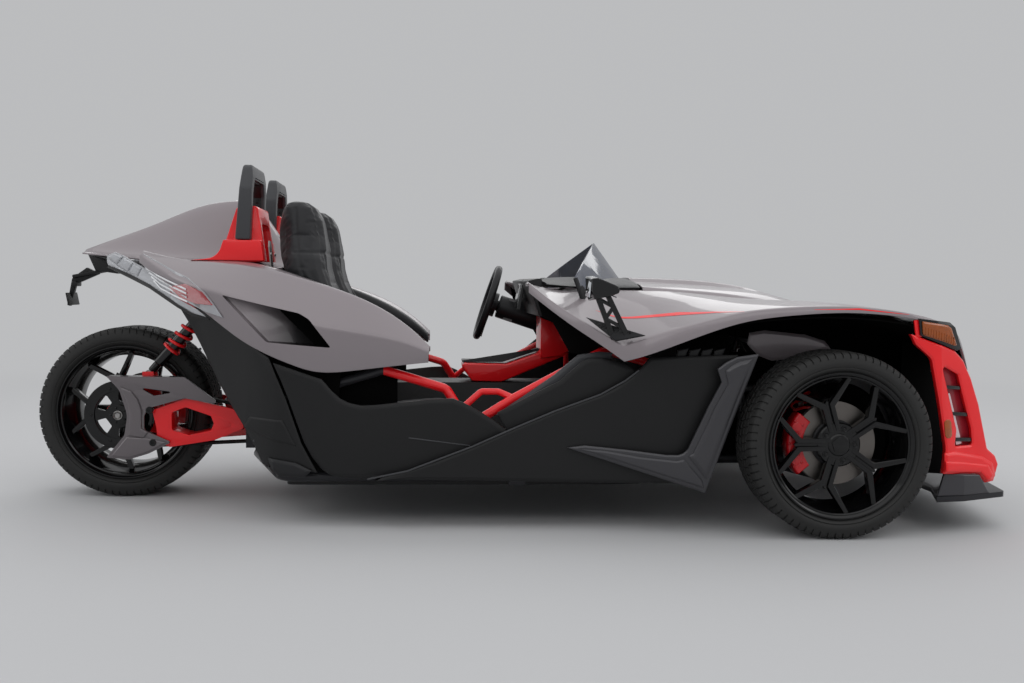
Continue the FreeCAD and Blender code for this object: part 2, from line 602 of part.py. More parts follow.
def frame_side(sign):
    """One side's tubes and brackets, as a list of shapes that overlap where they are welded."""
    x = size["FrontAxleX"]

    def at(px, py, pz):
        return (px, py * sign, pz)

    low_rail = [at(1640, 240, 180), at(1300, 285, 180), at(760, 285, 180), at(600, 650, 170), at(-860, 650, 170),
                at(-1000, 275, 200)]
    top_rail = [at(1560, 280, 440), at(1200, 320, 470), at(760, 320, 470), at(600, 640, 560), at(330, 650, 640)]
    side_hoop = [at(-860, 650, 170), at(-900, 640, 560), at(-1000, 480, 900)]
    door_bar = [at(-420, 650, 170), at(-290, 728, 300), at(-109, 732, 411), at(-18, 732, 468), at(292, 725, 634),
                at(330, 650, 640)]
    seat_bar = [at(-893, 645, 440), at(-489, 690, 565), at(-262, 690, 497), at(-180, 731, 367)]
    grab_bar = [at(-213, 714, 422), at(-135, 690, 488), at(-72, 690, 488), at(-18, 732, 468)]
    shapes = [tube(low_rail, 19, 70), tube(top_rail, 17, 60), tube(side_hoop, 17, 60), tube(door_bar, 17, 40)]
    shapes += [tube(seat_bar, 17, 40), tube(grab_bar, 12, 25)]
    posts = ((at(760, 285, 180), at(760, 320, 470)), (at(934, 285, 180), at(934, 320, 470)),
             (at(1290, 285, 180), at(1290, 306, 462)), (at(1540, 253, 180), at(1540, 282, 442)),
             (at(1022, 320, 470), at(1098, 400, 640)), (at(1202, 320, 470), at(1126, 400, 640)),
             (at(x - size["SteerArm"], 285, 180), at(x - size["SteerArm"], 285, 238)),
             (at(330, 650, 170), at(330, 650, 640)), (at(-1000, 275, 200), at(-1000, 275, 900)))
    shapes += [rod(low, high, 13) for low, high in posts]
    for level, inner, spread in WISHBONE:
        for way in (-1, 1):
            pivot = x + way * spread
            shapes.append(rod(at(pivot - 36, inner, level), at(pivot + 36, inner, level), 8))
            for gap in (-33, 33):
                tab = Part.makeBox(6, 80, 40, Vector(pivot + gap - 3, inner - 62, level - 20))
                shapes.append(mirrored(tab, sign))
    for gap in (-19, 19):
        shapes.append(mirrored(Part.makeBox(6, 36, 58, Vector(x + gap - 3, 424, 586)), sign))
    shapes.append(rod(at(x - 22, 440, 602), at(x + 22, 440, 602), 6))
    shapes.append(mirrored(Part.makeBox(44, 24, 12, Vector(x - 22, 424, 634)), sign))
    pivot_plate = Part.makeBox(80, 20, 160, Vector(size["PivotX"] - 40, 256, size["PivotZ"] - 80))
    jack_pad = Part.makeBox(60, 50, 25, Vector(-30, 625, 140))
    shapes += [mirrored(pivot_plate, sign), mirrored(jack_pad, sign)]
    shapes.append(rod(at(size["PivotX"], 189, size["PivotZ"]), at(size["PivotX"], 260, size["PivotZ"]), 23))
    return shapes


def frame_tubes():
    """The tube frame in three weldments that meet end to end: a front box for the suspension, the tubes beside
    the seats, and a rear tower for the swingarm."""
    shapes = frame_side(1) + frame_side(-1)
    x = size["FrontAxleX"]
    cross = ((-1000, 275, 200), (-1000, 275, 640), (-1000, 480, 900), (1540, 253, 180), (1540, 282, 442),
             (760, 285, 180), (x, 448, 640), (x - size["SteerArm"], 285, 235))
    shapes += [rod((at, -y, up), (at, y, up), 15) for at, y, up in cross]
    for y in (-200, 200):
        shapes.append(Part.makeBox(30, 24, 28, Vector(x - size["SteerArm"] - 15, y - 12, 238)))
    shapes.append(Part.makeCylinder(19.9, 552, Vector(size["PivotX"], -276, size["PivotZ"]), Vector(0, 1, 0)))
    shapes.append(rod((-1000, -275, 775), (-1235, -212, 775), 14))
    for gap in (-19, 19):
        shapes.append(Part.makeBox(50, 6, 70, Vector(-1260, -212 + gap - 3, 720)))
    shapes.append(Part.makeCylinder(6, 44, Vector(-1235, -234, 740), Vector(0, 1, 0)))
    hinge_arm = [(1528, 436), (1552, 436), (1610, 484), (1866, 488), (1866, 500), (1604, 498)]
    shapes += [side_face(hinge_arm, y, y + 8) for y in (-49, 41)]
    whole = fused(shapes)
    stretches = (("frame_rear", -1500, -930), ("frame_sides", -930, 680), ("frame_front", 680, 2100))
    for label, rear, front in stretches:
        room = Part.makeBox(front - rear, 2000, 1200, Vector(rear, -1000, 0))
        solid_part(label, whole.common(room))


def floor_tub():
    """The cabin's moulded floor: an open well each side of a tunnel, and a footwell each side of the engine's bay."""
    body = new_body("floor_tub")
    ground = size["GroundClear"]
    outline = [(-850, -600, 30), (360, -600, 30), (590, -560, 30), (590, -275, 20), (365, -275, 10), (365, 275, 10),
               (590, 275, 20), (590, 560, 30), (360, 600, 30), (-850, 600, 30)]
    feature(body, "Pad", sketch(body, "XY_Plane", outline, lift=ground), Length=340)
    for sign in (1, -1):
        well = [(-842, 112, 20), (357, 112, 10), (357, 283, 10), (582, 283, 20), (582, 553, 25), (358, 592, 25),
                (-842, 592, 25)]
        well = flip([(y, x, r) for x, y, r in well], sign)
        well = [(x, y, r) for y, x, r in well]
        cut = feature(body, "Pocket", sketch(body, "XY_Plane", well, lift=ground + 341))
        cut.setExpression("Length", "341 - Sizes.FloorT")
    tunnel = [(-860, -100), (380, -100), (380, 100), (-860, 100)]
    feature(body, "Pocket", sketch(body, "XY_Plane", tunnel, lift=ground - 1), reverse=True, Length=329)
    sill = [(-700, 340, 30), (250, 340, 30), (370, 480), (-820, 480)]
    for low in (560, -700):
        feature(body, "Pocket", sketch(body, "XZ_Plane", sill, lift=-low), Length=140)


def engine_block():
    """The engine and its gearbox: one block at its real place and size."""
    body = new_body("engine_block")
    outline = [(380, 160), (520, 230), (860, 230), (860, 600, 30), (760, 670, 30), (480, 670, 30), (380, 480, 30)]
    plate(body, "XZ_Plane", outline, -190, 380)


def exhaust():
    """A short muffler across the car behind the right front wheel, with the pipe into it and the outlet."""
    pieces = [rod((655, -320, 320), (655, -580, 320), 52), rod((700, -200, 330), (655, -340, 325), 24)]
    pieces.append(tube([(655, -560, 320), (655, -655, 320), (610, -700, 235), (560, -745, 222)], 24, 30))
    solid_part("exhaust", fused(pieces))


frame_tubes()
floor_tub()
engine_block()
exhaust()

# ---------------------------------------------------------------- body panels
# Stations run along the car. Each is x: the panel's outer line, as (across, up) points from the middle outwards.

HOOD = {
    500: [(0, 905), (250, 885), (440, 868)],
    780: [(0, 895), (240, 878), (442, 850)],
    1028: [(0, 870), (230, 858), (440, 815)],
    1129: [(0, 842), (220, 818), (437, 792)],
    1400: [(0, 745), (190, 735), (428, 725)],
    1650: [(0, 640), (130, 635), (330, 620)],
    1885: [(0, 520), (30, 519), (70, 512)],
}
COWL = {
    112: [(0, 900), (300, 893), (527, 880)],
    300: [(0, 908), (300, 893), (444, 863)],
    490: [(0, 903), (250, 886), (432, 868)],
}
FENDER = {
    40: [(560, 880), (640, 885), (700, 886), (705, 850)],
    200: [(508, 850), (640, 800), (780, 765), (790, 725)],
    357: [(452, 860), (660, 760), (880, 660), (885, 617)],
    456: [(449, 862), (680, 775), (925, 695), (930, 645)],
    609: [(450, 858), (700, 800), (945, 745), (950, 712)],
    813: [(451, 840), (700, 830), (965, 800), (970, 774)],
    1000: [(451, 815), (710, 835), (978, 815), (982, 793)],
    1159: [(448, 790), (710, 830), (982, 815), (985, 798)],
    1348: [(445, 740), (700, 795), (958, 795), (960, 781)],
    1542: [(400, 672), (680, 728), (878, 745), (880, 734)],
    1640: [(348, 622), (600, 648), (785, 610), (800, 575)],
}
QUARTER = {
    -330: [(690, 628), (715, 640), (735, 648), (757, 634), (748, 598)],
    -416: [(640, 708), (672, 722), (705, 731), (757, 672), (747, 588)],
    -560: [(595, 792), (640, 806), (690, 815), (762, 700), (745, 572)],
    -713: [(572, 850), (620, 862), (672, 862), (765, 722), (742, 552)],
    -900: [(566, 915), (605, 925), (645, 915), (740, 770), (705, 620)],
    -1000: [(430, 940), (520, 943), (600, 930), (710, 810), (680, 670)],
    -1100: [(430, 941), (500, 945), (560, 940), (672, 842), (640, 747)],
    -1250: [(420, 941), (460, 946), (500, 944), (590, 880), (586, 850)],
    -1425: [(300, 966), (322, 978), (348, 984), (376, 972), (384, 945)],
}
DECK = {
    -916: [(60, 1010), (150, 935), (400, 930)],
    -1050: [(62, 1205), (150, 945), (415, 938)],
    -1120: [(60, 1213), (160, 950), (415, 940)],
    -1270: [(58, 1197), (165, 955), (405, 941)],
    -1450: [(42, 1110), (140, 970), (262, 965)],
    -1740: [(20, 1004), (50, 993), (70, 990)],
}


def both_sides(stations):
    """Stations whose half line starts at the middle, with the other half added."""
    whole = {}
    for x, half in stations.items():
        started = half[1:] if half[0][0] == 0 else half
        whole[x] = [(-y, z) for y, z in reversed(started)] + half
    return whole


def broad_panels():
    """The bonnet, the cowl behind it, the rear deck with its central spine, and the fenders and quarters."""
    for label, stations in (("hood", HOOD), ("cowl", COWL), ("rear_deck", DECK)):
        panel_loft(label, both_sides(stations).items(), whole=True)
    pair("front_fenders", panel_loft("front_fender_left", FENDER.items()))
    quarter = panel_loft("rear_quarter_left", QUARTER.items())
    scoop = [(-1068, 831, 20), (-757, 760), (-714, 746), (-674, 647), (-910, 665, 60)]
    inside, past_skin = 690, 120
    feature(quarter, "Pocket", sketch(quarter, "XZ_Plane", scoop, lift=-inside), Length=past_skin)
    pair("rear_quarters", quarter)


def side_and_nose_panels():
    """The upright panels: sills, swooshes and fins beside the doors, the nose's fangs, the wheel arches' inner
    walls, and the covers behind the cabin."""
    sill = [(-890, 597), (-830, 462), (-771, 303), (-711, 212), (-644, 182), (430, 182), (430, 560), (398, 591),
            (285, 622, 20), (226, 614, 20), (141, 539, 40), (-81, 424), (-43, 356), (-172, 439, 60), (-239, 476, 60),
            (-440, 453, 200), (-566, 442, 60), (-640, 464, 60), (-707, 534, 60)]
    side_panels("side_panels", [(-896, 700), (-500, 780), (0, 792), (440, 800)], sill)
    swoosh = [(-564, 187), (-401, 218, 300), (-167, 307, 600), (283, 496, 400), (340, 522, 200), (420, 578, 60),
              (459, 628), (775, 640), (625, 200), (618, 172)]
    side_panels("side_swooshes", [(-570, 812), (640, 838), (790, 842)], swoosh)
    fin = [(165, 304), (227, 315, 40), (514, 282, 200), (559, 282, 20), (589, 302, 20), (637, 409), (705, 544, 20),
           (685, 591, 15), (753, 636, 30), (830, 645), (652, 149)]
    side_panels("side_fins", [(160, 842), (600, 886), (840, 912)], fin, thickness=14)
    fang = [(1357, 721), (1377, 685, 10), (1443, 634, 40), (1517, 312, 60), (1508, 221), (1674, 207), (1712, 172, 6),
            (1752, 176, 6), (1772, 236, 10), (1756, 268, 20), (1716, 297, 20), (1668, 462), (1627, 559), (1588, 624),
            (1545, 660)]
    vent = [(1485, 612, 10), (1564, 575, 10), (1637, 375, 20), (1644, 315, 10), (1559, 315, 10), (1566, 373, 30)]
    side_panels("front_fangs", [(1340, 958), (1480, 925), (1600, 862), (1785, 780)], fang, vent, thickness=22)
    cover = [(-1306, 800), (-1240, 705), (-1120, 505), (-1005, 348, 200), (-926, 216), (-722, 197), (-780, 300),
             (-838, 460), (-902, 606), (-960, 640, 60), (-1090, 752)]
    side_panels("rear_side_covers", [(-1330, 330), (-1200, 410), (-1000, 612), (-880, 702), (-710, 744)], cover)
    arch = [(870, 760), (1250, 760), (1215, 640, 20), (1180, 622, 20), (1090, 600, 40), (975, 590, 60),
            (900, 620, 40), (880, 650, 20)]
    inner_wall = new_body("arch_panel_left", whole=False)
    plate(inner_wall, "XZ_Plane", arch, -555, 15)
    pair("arch_panels", inner_wall)


def rear_bulkhead():
    """The leaning wall behind the seats."""
    body = new_body("rear_bulkhead")
    plate(body, "XZ_Plane", [(-858, 472), (-955, 915), (-963, 913), (-866, 470)], -520, 1040)


broad_panels()
side_and_nose_panels()
rear_bulkhead()

# ---------------------------------------------------------------- hoops, seats, cabin


def roll_hoops():
    """The covers of the roll hoops: an upside-down U behind each seat, leaning forward towards its top."""
    body = new_body("roll_hoop_left", whole=False)
    outline = [(-190, 1036), (-138, 1036), (-138, 1215, 30), (-112, 1265, 30), (112, 1265, 30), (138, 1215, 30),
               (138, 1036), (190, 1036), (190, 1230, 40), (150, 1318, 30), (-150, 1318, 30), (-190, 1230, 40)]
    plate(body, "YZ_Plane", outline, -1055, 75)
    lean = [(-1051, 1030), (-995, 1030), (-987, 1274, 100), (-992, 1320), (-1026, 1320), (-1031, 1274, 100)]
    trimmed(body, lean)
    place(body, y="Sizes.SeatY")
    pair("roll_hoops", body)


def hoop_fairings():
    """The painted fairing round each hoop's foot, with an opening through it behind the seat."""
    body = new_body("hoop_fairing_left", whole=False)
    side = [(-1215, 957), (-1115, 968, 60), (-1052, 1160, 15), (-975, 1165, 15), (-945, 957)]
    plate(body, "XZ_Plane", side, -190, 348)
    upper = [(-400, 1034), (-134, 1034), (-134, 1400), (-400, 1400)]
    for low in (upper, [(-y, z) for y, z in upper]):
        feature(body, "Pocket", sketch(body, "YZ_Plane", low, lift=-1300), reverse=True, Length=500)
    opening = [(-95, 900), (95, 900), (95, 1100, 25), (-95, 1100, 25)]
    feature(body, "Pocket", sketch(body, "YZ_Plane", opening, lift=-1300), reverse=True, Length=500)
    place(body, y="Sizes.SeatY")
    pair("hoop_fairings", body)


def seats():
    """The bucket seats: a cushion and a back in one, with a raised bolster down each side and a narrower head."""
    body = new_body("seat_left", whole=False)
    outline = [(-130, 141), (-120, 350, 40), (-200, 425, 60), (-570, 385, 80), (-634, 822, 80), (-686, 956, 80),
               (-735, 1010, 60), (-765, 1155, 30), (-795, 1180, 20), (-835, 1180, 20), (-866, 1130, 40),
               (-858, 960, 80), (-822, 858, 60), (-790, 420, 80), (-770, 141)]
    plate(body, "XZ_Plane", outline, -215, 430)
    dish = [(-40, 330), (-200, 385, 60), (-552, 342, 40), (-668, 822, 80), (-702, 925), (-600, 1000), (-40, 1000)]
    feature(body, "Pocket", sketch(body, "XZ_Plane", dish, lift=150), Length=300)
    shoulder = [(216, 900), (196, 985, 60), (140, 1050, 60), (112, 1200), (300, 1200), (300, 900)]
    for corner in (shoulder, [(-p[0], *p[1:]) for p in shoulder]):
        feature(body, "Pocket", sketch(body, "YZ_Plane", corner, lift=-1000), reverse=True, Length=500)
    place(body, y="Sizes.SeatY + 5")
    pair("seats", body)


def windshield():
    """Two tinted panes that meet in a V at the front, sweep back to each side, and stand on the cowl."""
    # from the middle outwards: distance across, lower edge (x, z), upper edge (x, z)
    half = [(0, (478, 909), (368, 1058)), (300, (358, 899), (290, 980)), (450, (298, 874), (251, 940)),
            (575, (248, 829), (219, 906))]
    loops = []
    for across, low, high in [(-y, low, high) for y, low, high in half[:0:-1]] + half:
        spots = [(low[0], across, low[1]), (high[0], across, high[1]), (high[0] - 5, across, high[1] - 2),
                 (low[0] - 5, across, low[1] - 3)]
        loops.append(Part.makePolygon([Vector(*p) for p in spots + spots[:1]]))
    solid_part("windshield", Part.makeLoft(loops, True, True))


def dashboard():
    """The dashboard: a padded front edge, a hollow knee space under it, and the column's opening."""
    body = new_body("dashboard")
    outline = [(51, 894, 6), (90, 903, 4), (106, 903), (106, 862), (290, 838), (290, 700), (170, 640, 20), (143, 622, 8)]
    plate(body, "XZ_Plane", outline, -450, 900)
    opening = [(size["SeatY"] - 70, 600), (size["SeatY"] + 70, 600), (size["SeatY"] + 70, 836, 30),
               (size["SeatY"] - 70, 836, 30)]
    feature(body, "Pocket", sketch(body, "YZ_Plane", opening, lift=0), reverse=True, Length=400)


def center_console():
    """The console on the tunnel, rising to the dashboard."""
    body = new_body("center_console")
    outline = [(-211, 557, 15), (-149, 474, 15), (-22, 472, 60), (252, 588), (252, 616), (236, 620, 20),
               (148, 600, 60), (-6, 545, 60), (-168, 548, 10)]
    plate(body, "XZ_Plane", outline, -98, 196)
    plate(body, "XZ_Plane", [(120, 585), (252, 595), (252, 673), (172, 633), (140, 610)], -60, 120)


def steering_frame():
    """The place and lean of the steering wheel and its column."""
    return Placement(Vector(-67, size["SeatY"], 795), Rotation(Vector(0, 1, 0), -72))


def steering_wheel():
    """A three-spoke steering wheel in its own plane, square to the column."""
    radius = size["SteerWheelR"]
    shapes = [Part.makeTorus(radius - 16, 16), Part.makeCylinder(55, 34, Vector(0, 0, -40)),
              Part.makeCylinder(24, 60, Vector(0, 0, -86))]
    for turn in (90, 180, 270):
        spoke = Part.makeBox(radius - 60, 34, 12, Vector(40, -17, -22))
        spoke.rotate(Vector(0, 0, 0), Vector(0, 0, 1), turn)
        shapes.append(spoke)
    whole = fused(shapes)
    whole.Placement = steering_frame()
    solid_part("steering_wheel", whole)


def steering_column():
    """The shroud round the column, bored for the steering wheel's shaft."""
    column = Part.makeCylinder(52, 270, Vector(0, 0, -320)).cut(Part.makeCylinder(24.5, 60, Vector(0, 0, -100)))
    column.Placement = steering_frame()
    solid_part("steering_column", column)


def mirrors():
    """Each door mirror: a head on a thin arm that stands on a triangular foot."""
    foot = side_face([(250, 764), (350, 734), (350, 746), (278, 806, 10), (250, 806, 10)], 735, 782)
    head = [(225, 842), (318, 842, 15), (318, 880, 20), (290, 904, 20), (225, 904)]
    head = side_face(head, 852, 985)
    glass_recess = Part.makeBox(8, 117, 46, Vector(225, 860, 850))
    arm = rod((270, 762, 790), (272, 880, 855), 13)
    one = fused([foot, head, arm]).cut(glass_recess)
    solid_part("mirrors", Part.makeCompound([one, mirrored(one, -1)]))


roll_hoops()
hoop_fairings()
seats()
windshield()
dashboard()
center_console()
steering_wheel()
steering_column()
mirrors()

# ---------------------------------------------------------------- nose, lamps and tail


def splitter():
    """The low blade in front, and the upright plate on each end of it that carries a fang's foot."""
    body = new_body("splitter")
    outline = [(1492, -900), (1600, -880), (1799, -790, 30), (1880, -300, 100), (1898, -100), (1898, 100),
               (1880, 300, 100), (1799, 790, 30), (1600, 880), (1492, 900), (1560, 700), (1560, -700)]
    plate(body, "XY_Plane", outline, 116, 20)
    for y in (-262, 250):
        plate(body, "XZ_Plane", [(1570, 130), (1640, 130), (1640, 159), (1570, 159)], y, 12)
    ends = [(1496, 136), (1725, 136), (1674, 207), (1522, 219.8)]
    side_panels("splitter_ends", [(1480, 898), (1600, 878), (1799, 788)], ends)


def grille():
    """The intake in the nose: a surround with level bars across it."""
    body = new_body("grille")

    def half_at(z):
        return 420 - (z - 200) / 3

    rows = 7
    pitch = 270 / rows
    slots = []
    for row in range(rows):
        low, high = 206 + row * pitch, 200 + (row + 1) * pitch - 6
        for sign in (1, -1):
            slot = [(12, low), (half_at(low) - 14, low), (half_at(high) - 14, high), (12, high)]
            slots.append(flip(slot, sign))
    around = [(-420, 200), (420, 200), (330, 470), (-330, 470)]
    plate(body, "YZ_Plane", around, 1644, 30, *slots)


def lamps():
    """The head lamps in the nose, the amber markers on the fenders, and the tail lamps behind the quarters."""
    head = new_body("front_lamp_left", whole=False)
    plate(head, "YZ_Plane", [(360, 470, 10), (560, 500, 20), (610, 560, 20), (600, 600, 20), (400, 585, 10)], 1560, 130)
    trimmed(head, [(1560, 460), (1700, 460), (1690, 500), (1640, 610), (1560, 620)])
    pair("front_lamps", head)
    amber = [(1369, 760, 5), (1516, 744, 10), (1550, 670), (1377, 726, 8)]
    side_panels("marker_lamps", [(1345, 964), (1480, 928), (1560, 890)], amber)
    red = [(-1606, 976), (-1564, 990, 10), (-1516, 974), (-1470, 950), (-1425, 932), (-1250, 838), (-1120, 740),
           (-1183, 755), (-1252, 790), (-1389, 858), (-1485, 894), (-1595, 929), (-1606, 951)]
    side_panels("tail_lamps", [(-1606, 200), (-1485, 305), (-1425, 372), (-1250, 570), (-1110, 652)], red)


def plate_bracket():
    """The arm under the tail that carries the number plate."""
    body = new_body("plate_bracket")
    arm = [(-1691, 904), (-1740, 930), (-1800, 886, 20), (-1821, 774), (-1808, 770), (-1784, 862, 20)]
    plate(body, "XZ_Plane", arm, -14, 28)


splitter()
grille()
lamps()
plate_bracket()

# ---------------------------------------------------------------- check and write

doc.recompute()
bad = [item.Label for item in doc.Objects if "Invalid" in item.State or "Error" in item.State]
bad += [item.Label for item in PARTS if item.Shape.isNull() or not item.Shape.isValid()]
if bad:
    raise SystemExit(f"failed: {bad}")
os.makedirs("parts", exist_ok=True)
for item in PARTS:
    item.Shape.exportStep(f"parts/{item.Label}.step")
print(len(PARTS), "parts")
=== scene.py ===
# %% [markdown]
# # An open three wheeled car, finished in Blender
#
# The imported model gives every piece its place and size. This notebook gives each one its looks: paint,
# rubber, leather and glass, and the forms that are easier to shape as meshes, such as the bonnet, the tyres'
# tread and the seats. Everything is in metres: +X is forward, +Y the car's left and +Z up.

# %% Load the frame
import json
import math

import bmesh
import bpy
from mathutils import Matrix, Vector


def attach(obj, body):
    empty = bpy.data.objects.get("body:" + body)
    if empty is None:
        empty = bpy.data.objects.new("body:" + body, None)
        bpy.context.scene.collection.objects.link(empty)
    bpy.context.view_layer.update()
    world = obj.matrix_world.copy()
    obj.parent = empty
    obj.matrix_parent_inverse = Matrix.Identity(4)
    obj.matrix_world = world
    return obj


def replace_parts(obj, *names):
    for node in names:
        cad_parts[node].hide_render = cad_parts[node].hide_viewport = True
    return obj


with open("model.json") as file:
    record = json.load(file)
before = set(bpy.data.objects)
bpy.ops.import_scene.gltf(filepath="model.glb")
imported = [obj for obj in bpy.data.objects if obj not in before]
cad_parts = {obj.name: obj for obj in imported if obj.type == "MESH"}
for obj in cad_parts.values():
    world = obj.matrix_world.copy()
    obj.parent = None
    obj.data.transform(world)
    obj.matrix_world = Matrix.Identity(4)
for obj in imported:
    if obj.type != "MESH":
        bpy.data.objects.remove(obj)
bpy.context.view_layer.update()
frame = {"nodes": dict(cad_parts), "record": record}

NODES = frame["nodes"]
SIDES = (("left", 1), ("right", -1))
SLOT_OF = {row["node"]: row["material_slot"] for row in frame["record"]["subparts"]}
BODY_OF = {node: body for body, nodes in frame["record"]["behaviour"]["bodies"].items() for node in nodes}
MM = 0.001

# %% [markdown]
# ## The stage
# A pale floor and a large soft light overhead, with two long strip lights low at the sides. Long lights
# matter on a car: paint is read by the bright lines that run along its folds. The backdrop is only seen by
# the camera and in reflections, so it can be pale without lighting the car. Node trees are wired through one
# helper, which adds a node, sets its values, and links or fills its inputs.


# %% Nodes, floor, world and lights
def node_in(tree, kind, inputs=(), **settings):
    """Adds a shader node. An input is given a value, or the output socket that feeds it."""
    made = tree.nodes.new("ShaderNode" + kind)
    for key, value in settings.items():
        setattr(made, key, value)
    for key, value in dict(inputs).items():
        if isinstance(value, bpy.types.NodeSocket):
            tree.links.new(value, made.inputs[key])
        else:
            made.inputs[key].default_value = value
    return made


def simple_material(name, color, roughness=0.6):
    material = bpy.data.materials.new(name)
    material.use_nodes = True
    shader = material.node_tree.nodes["Principled BSDF"]
    shader.inputs["Base Color"].default_value = (*color, 1)
    shader.inputs["Roughness"].default_value = roughness
    return material


def seen_rays(tree):
    """1 on a camera, glossy or transmission ray, 0 on any other."""
    path = node_in(tree, "LightPath").outputs
    seen = path["Is Camera Ray"]
    for ray in ("Is Glossy Ray", "Is Transmission Ray"):
        seen = node_in(tree, "Math", {0: seen, 1: path[ray]}, operation="ADD", use_clamp=True).outputs[0]
    return seen


BACKDROP = (0.5, 0.505, 0.515, 1)
FADE_FROM, FADE_TO = 2.8, 8


def floor_paint():
    """A pale floor that runs out into the backdrop far from the car, so no edge is seen."""
    material = simple_material("floor_paint", (0.52, 0.52, 0.525), 0.8)
    tree = material.node_tree
    place = node_in(tree, "TexCoord").outputs["Object"]
    reach = node_in(tree, "VectorMath", {0: place}, operation="LENGTH").outputs["Value"]
    far = node_in(tree, "MapRange", {"Value": reach, "From Min": FADE_FROM, "From Max": FADE_TO},
                  interpolation_type="SMOOTHSTEP").outputs["Result"]
    weight = node_in(tree, "Math", {0: far, 1: seen_rays(tree)}, operation="MULTIPLY").outputs[0]
    glow = node_in(tree, "Emission", {"Color": BACKDROP}).outputs[0]
    mix = node_in(tree, "MixShader", {"Fac": weight, 1: tree.nodes["Principled BSDF"].outputs[0], 2: glow})
    tree.links.new(mix.outputs[0], tree.nodes["Material Output"].inputs["Surface"])
    return material


def make_floor():
    bm = bmesh.new()
    bmesh.ops.create_grid(bm, x_segments=1, y_segments=1, size=30)
    mesh = bpy.data.meshes.new("studio_floor")
    bm.to_mesh(mesh)
    bm.free()
    mesh.materials.append(floor_paint())
    floor = in_scene("studio_floor", mesh)


def in_scene(name, data):
    """A new object of the scene that shows some data."""
    made = bpy.data.objects.new(name, data)
    bpy.context.scene.collection.objects.link(made)
    return made


def make_world():
    """Soft even light, with a paler ground for the camera and for reflections."""
    world = bpy.context.scene.world = bpy.data.worlds.new("studio_world")
    world.use_nodes = True
    tree = world.node_tree
    backdrop = tree.nodes["Background"]
    backdrop.inputs["Color"].default_value = BACKDROP
    light = node_in(tree, "Background", {"Color": (0.95, 0.97, 1.0, 1), "Strength": 0.58})
    mix = node_in(tree, "MixShader", {"Fac": seen_rays(tree), 1: light.outputs[0], 2: backdrop.outputs[0]})
    tree.links.new(mix.outputs[0], tree.nodes["World Output"].inputs["Surface"])


# name: place, what it points at, width, length, power
LIGHTS = {
    "overhead": ((0.2, -0.5, 7.0), (0, 0, 0.5), 18.0, 14.0, 430),
    "near_strip": ((0.2, -5.6, 3.4), (0, -0.4, 0.5), 7.0, 1.2, 26),
    "far_strip": ((0.0, 5.0, 3.2), (0, 0.4, 0.6), 7.0, 1.2, 40),
    "nose": ((5.2, -1.6, 2.6), (1.2, 0, 0.4), 2.5, 2.5, 22),
    "tail": ((-5.2, -1.2, 2.6), (-1.2, 0, 0.5), 2.5, 2.5, 22),
}


def make_lights():
    for name, (place, target, width, length, power) in LIGHTS.items():
        data = bpy.data.lights.new(name, "AREA")
        data.shape, data.size, data.size_y, data.energy = "RECTANGLE", width, length, power
        lamp = in_scene(name, data)
        lamp.location = place
        lamp.rotation_euler = (Vector(target) - Vector(place)).to_track_quat("-Z", "Y").to_euler()


CAMERA_PLACE = (-0.3086, -4.8268, 0.8861)
CAMERA_TURN, CAMERA_DIP, CAMERA_ROLL = -0.0686, -0.0517, -0.0107


def make_camera():
    """A camera on the car's right, a little ahead of its middle and turned slightly back."""
    data = bpy.data.cameras.new("camera")
    data.sensor_width, data.lens, data.clip_end = 36, 40.008, 200
    camera = in_scene("camera", data)
    facing = (Matrix.Rotation(CAMERA_TURN, 3, "Z") @ Matrix.Rotation(CAMERA_DIP, 3, "X")
              @ Matrix.Rotation(CAMERA_ROLL, 3, "Y") @ Matrix.Rotation(math.pi / 2, 3, "X"))
    camera.matrix_world = Matrix.Translation(CAMERA_PLACE) @ facing.to_4x4()
    bpy.context.scene.camera = camera


bpy.context.scene.view_settings.view_transform = "Standard"
make_floor()
make_world()
make_lights()
make_camera()
print("stage", len(LIGHTS), "lights")

# %% [markdown]
# ## Finishes
# Every finish starts from a Principled shader. Small differences make it read as a real surface: a slow
# change of roughness where hands and dust have been, a fine bump for moulded grain, tiny flakes under a clear
# coat. All of them read Object coordinates, so a pattern stays with its piece when the piece moves.


# %% A shader with a pattern in its colour, its roughness and its bump
def finish(name, color, roughness, metallic=0.0, coat=0.0, vary=0.12, patch=3.0, rough_vary=0.08,
           grain=0.0, grain_size=900.0, sheen=0.0, shine=0.5, **extra):
    """A procedural finish: slow patches in colour and roughness, and a fine grain as bump."""
    material = simple_material(name, color, roughness)
    tree = material.node_tree
    shader = tree.nodes["Principled BSDF"]
    fixed = {"Metallic": metallic, "Coat Weight": coat, "Coat Roughness": 0.04, "Sheen Weight": sheen,
             "Specular IOR Level": shine}
    for socket, value in {**fixed, **extra}.items():
        shader.inputs[socket.replace("_", " ")].default_value = value
    place = node_in(tree, "TexCoord").outputs["Object"]
    slow = node_in(tree, "TexNoise", {"Vector": place, "Scale": patch, "Detail": 5}).outputs["Fac"]
    tint = node_in(tree, "Mix", {"Factor": slow, "A": (*[c * (1 - vary) for c in color], 1),
                                 "B": (*[min(1, c * (1 + vary)) for c in color], 1)}, data_type="RGBA")
    tree.links.new(tint.outputs["Result"], shader.inputs["Base Color"])
    spread = node_in(tree, "MapRange", {"Value": slow, "To Min": max(0.02, roughness - rough_vary),
                                        "To Max": min(1, roughness + rough_vary)})
    tree.links.new(spread.outputs["Result"], shader.inputs["Roughness"])
    if grain:
        fine = node_in(tree, "TexNoise", {"Vector": place, "Scale": grain_size, "Detail": 3}).outputs["Fac"]
        bump = node_in(tree, "Bump", {"Strength": grain, "Distance": 0.001, "Height": fine})
        tree.links.new(bump.outputs["Normal"], shader.inputs["Normal"])
    return material


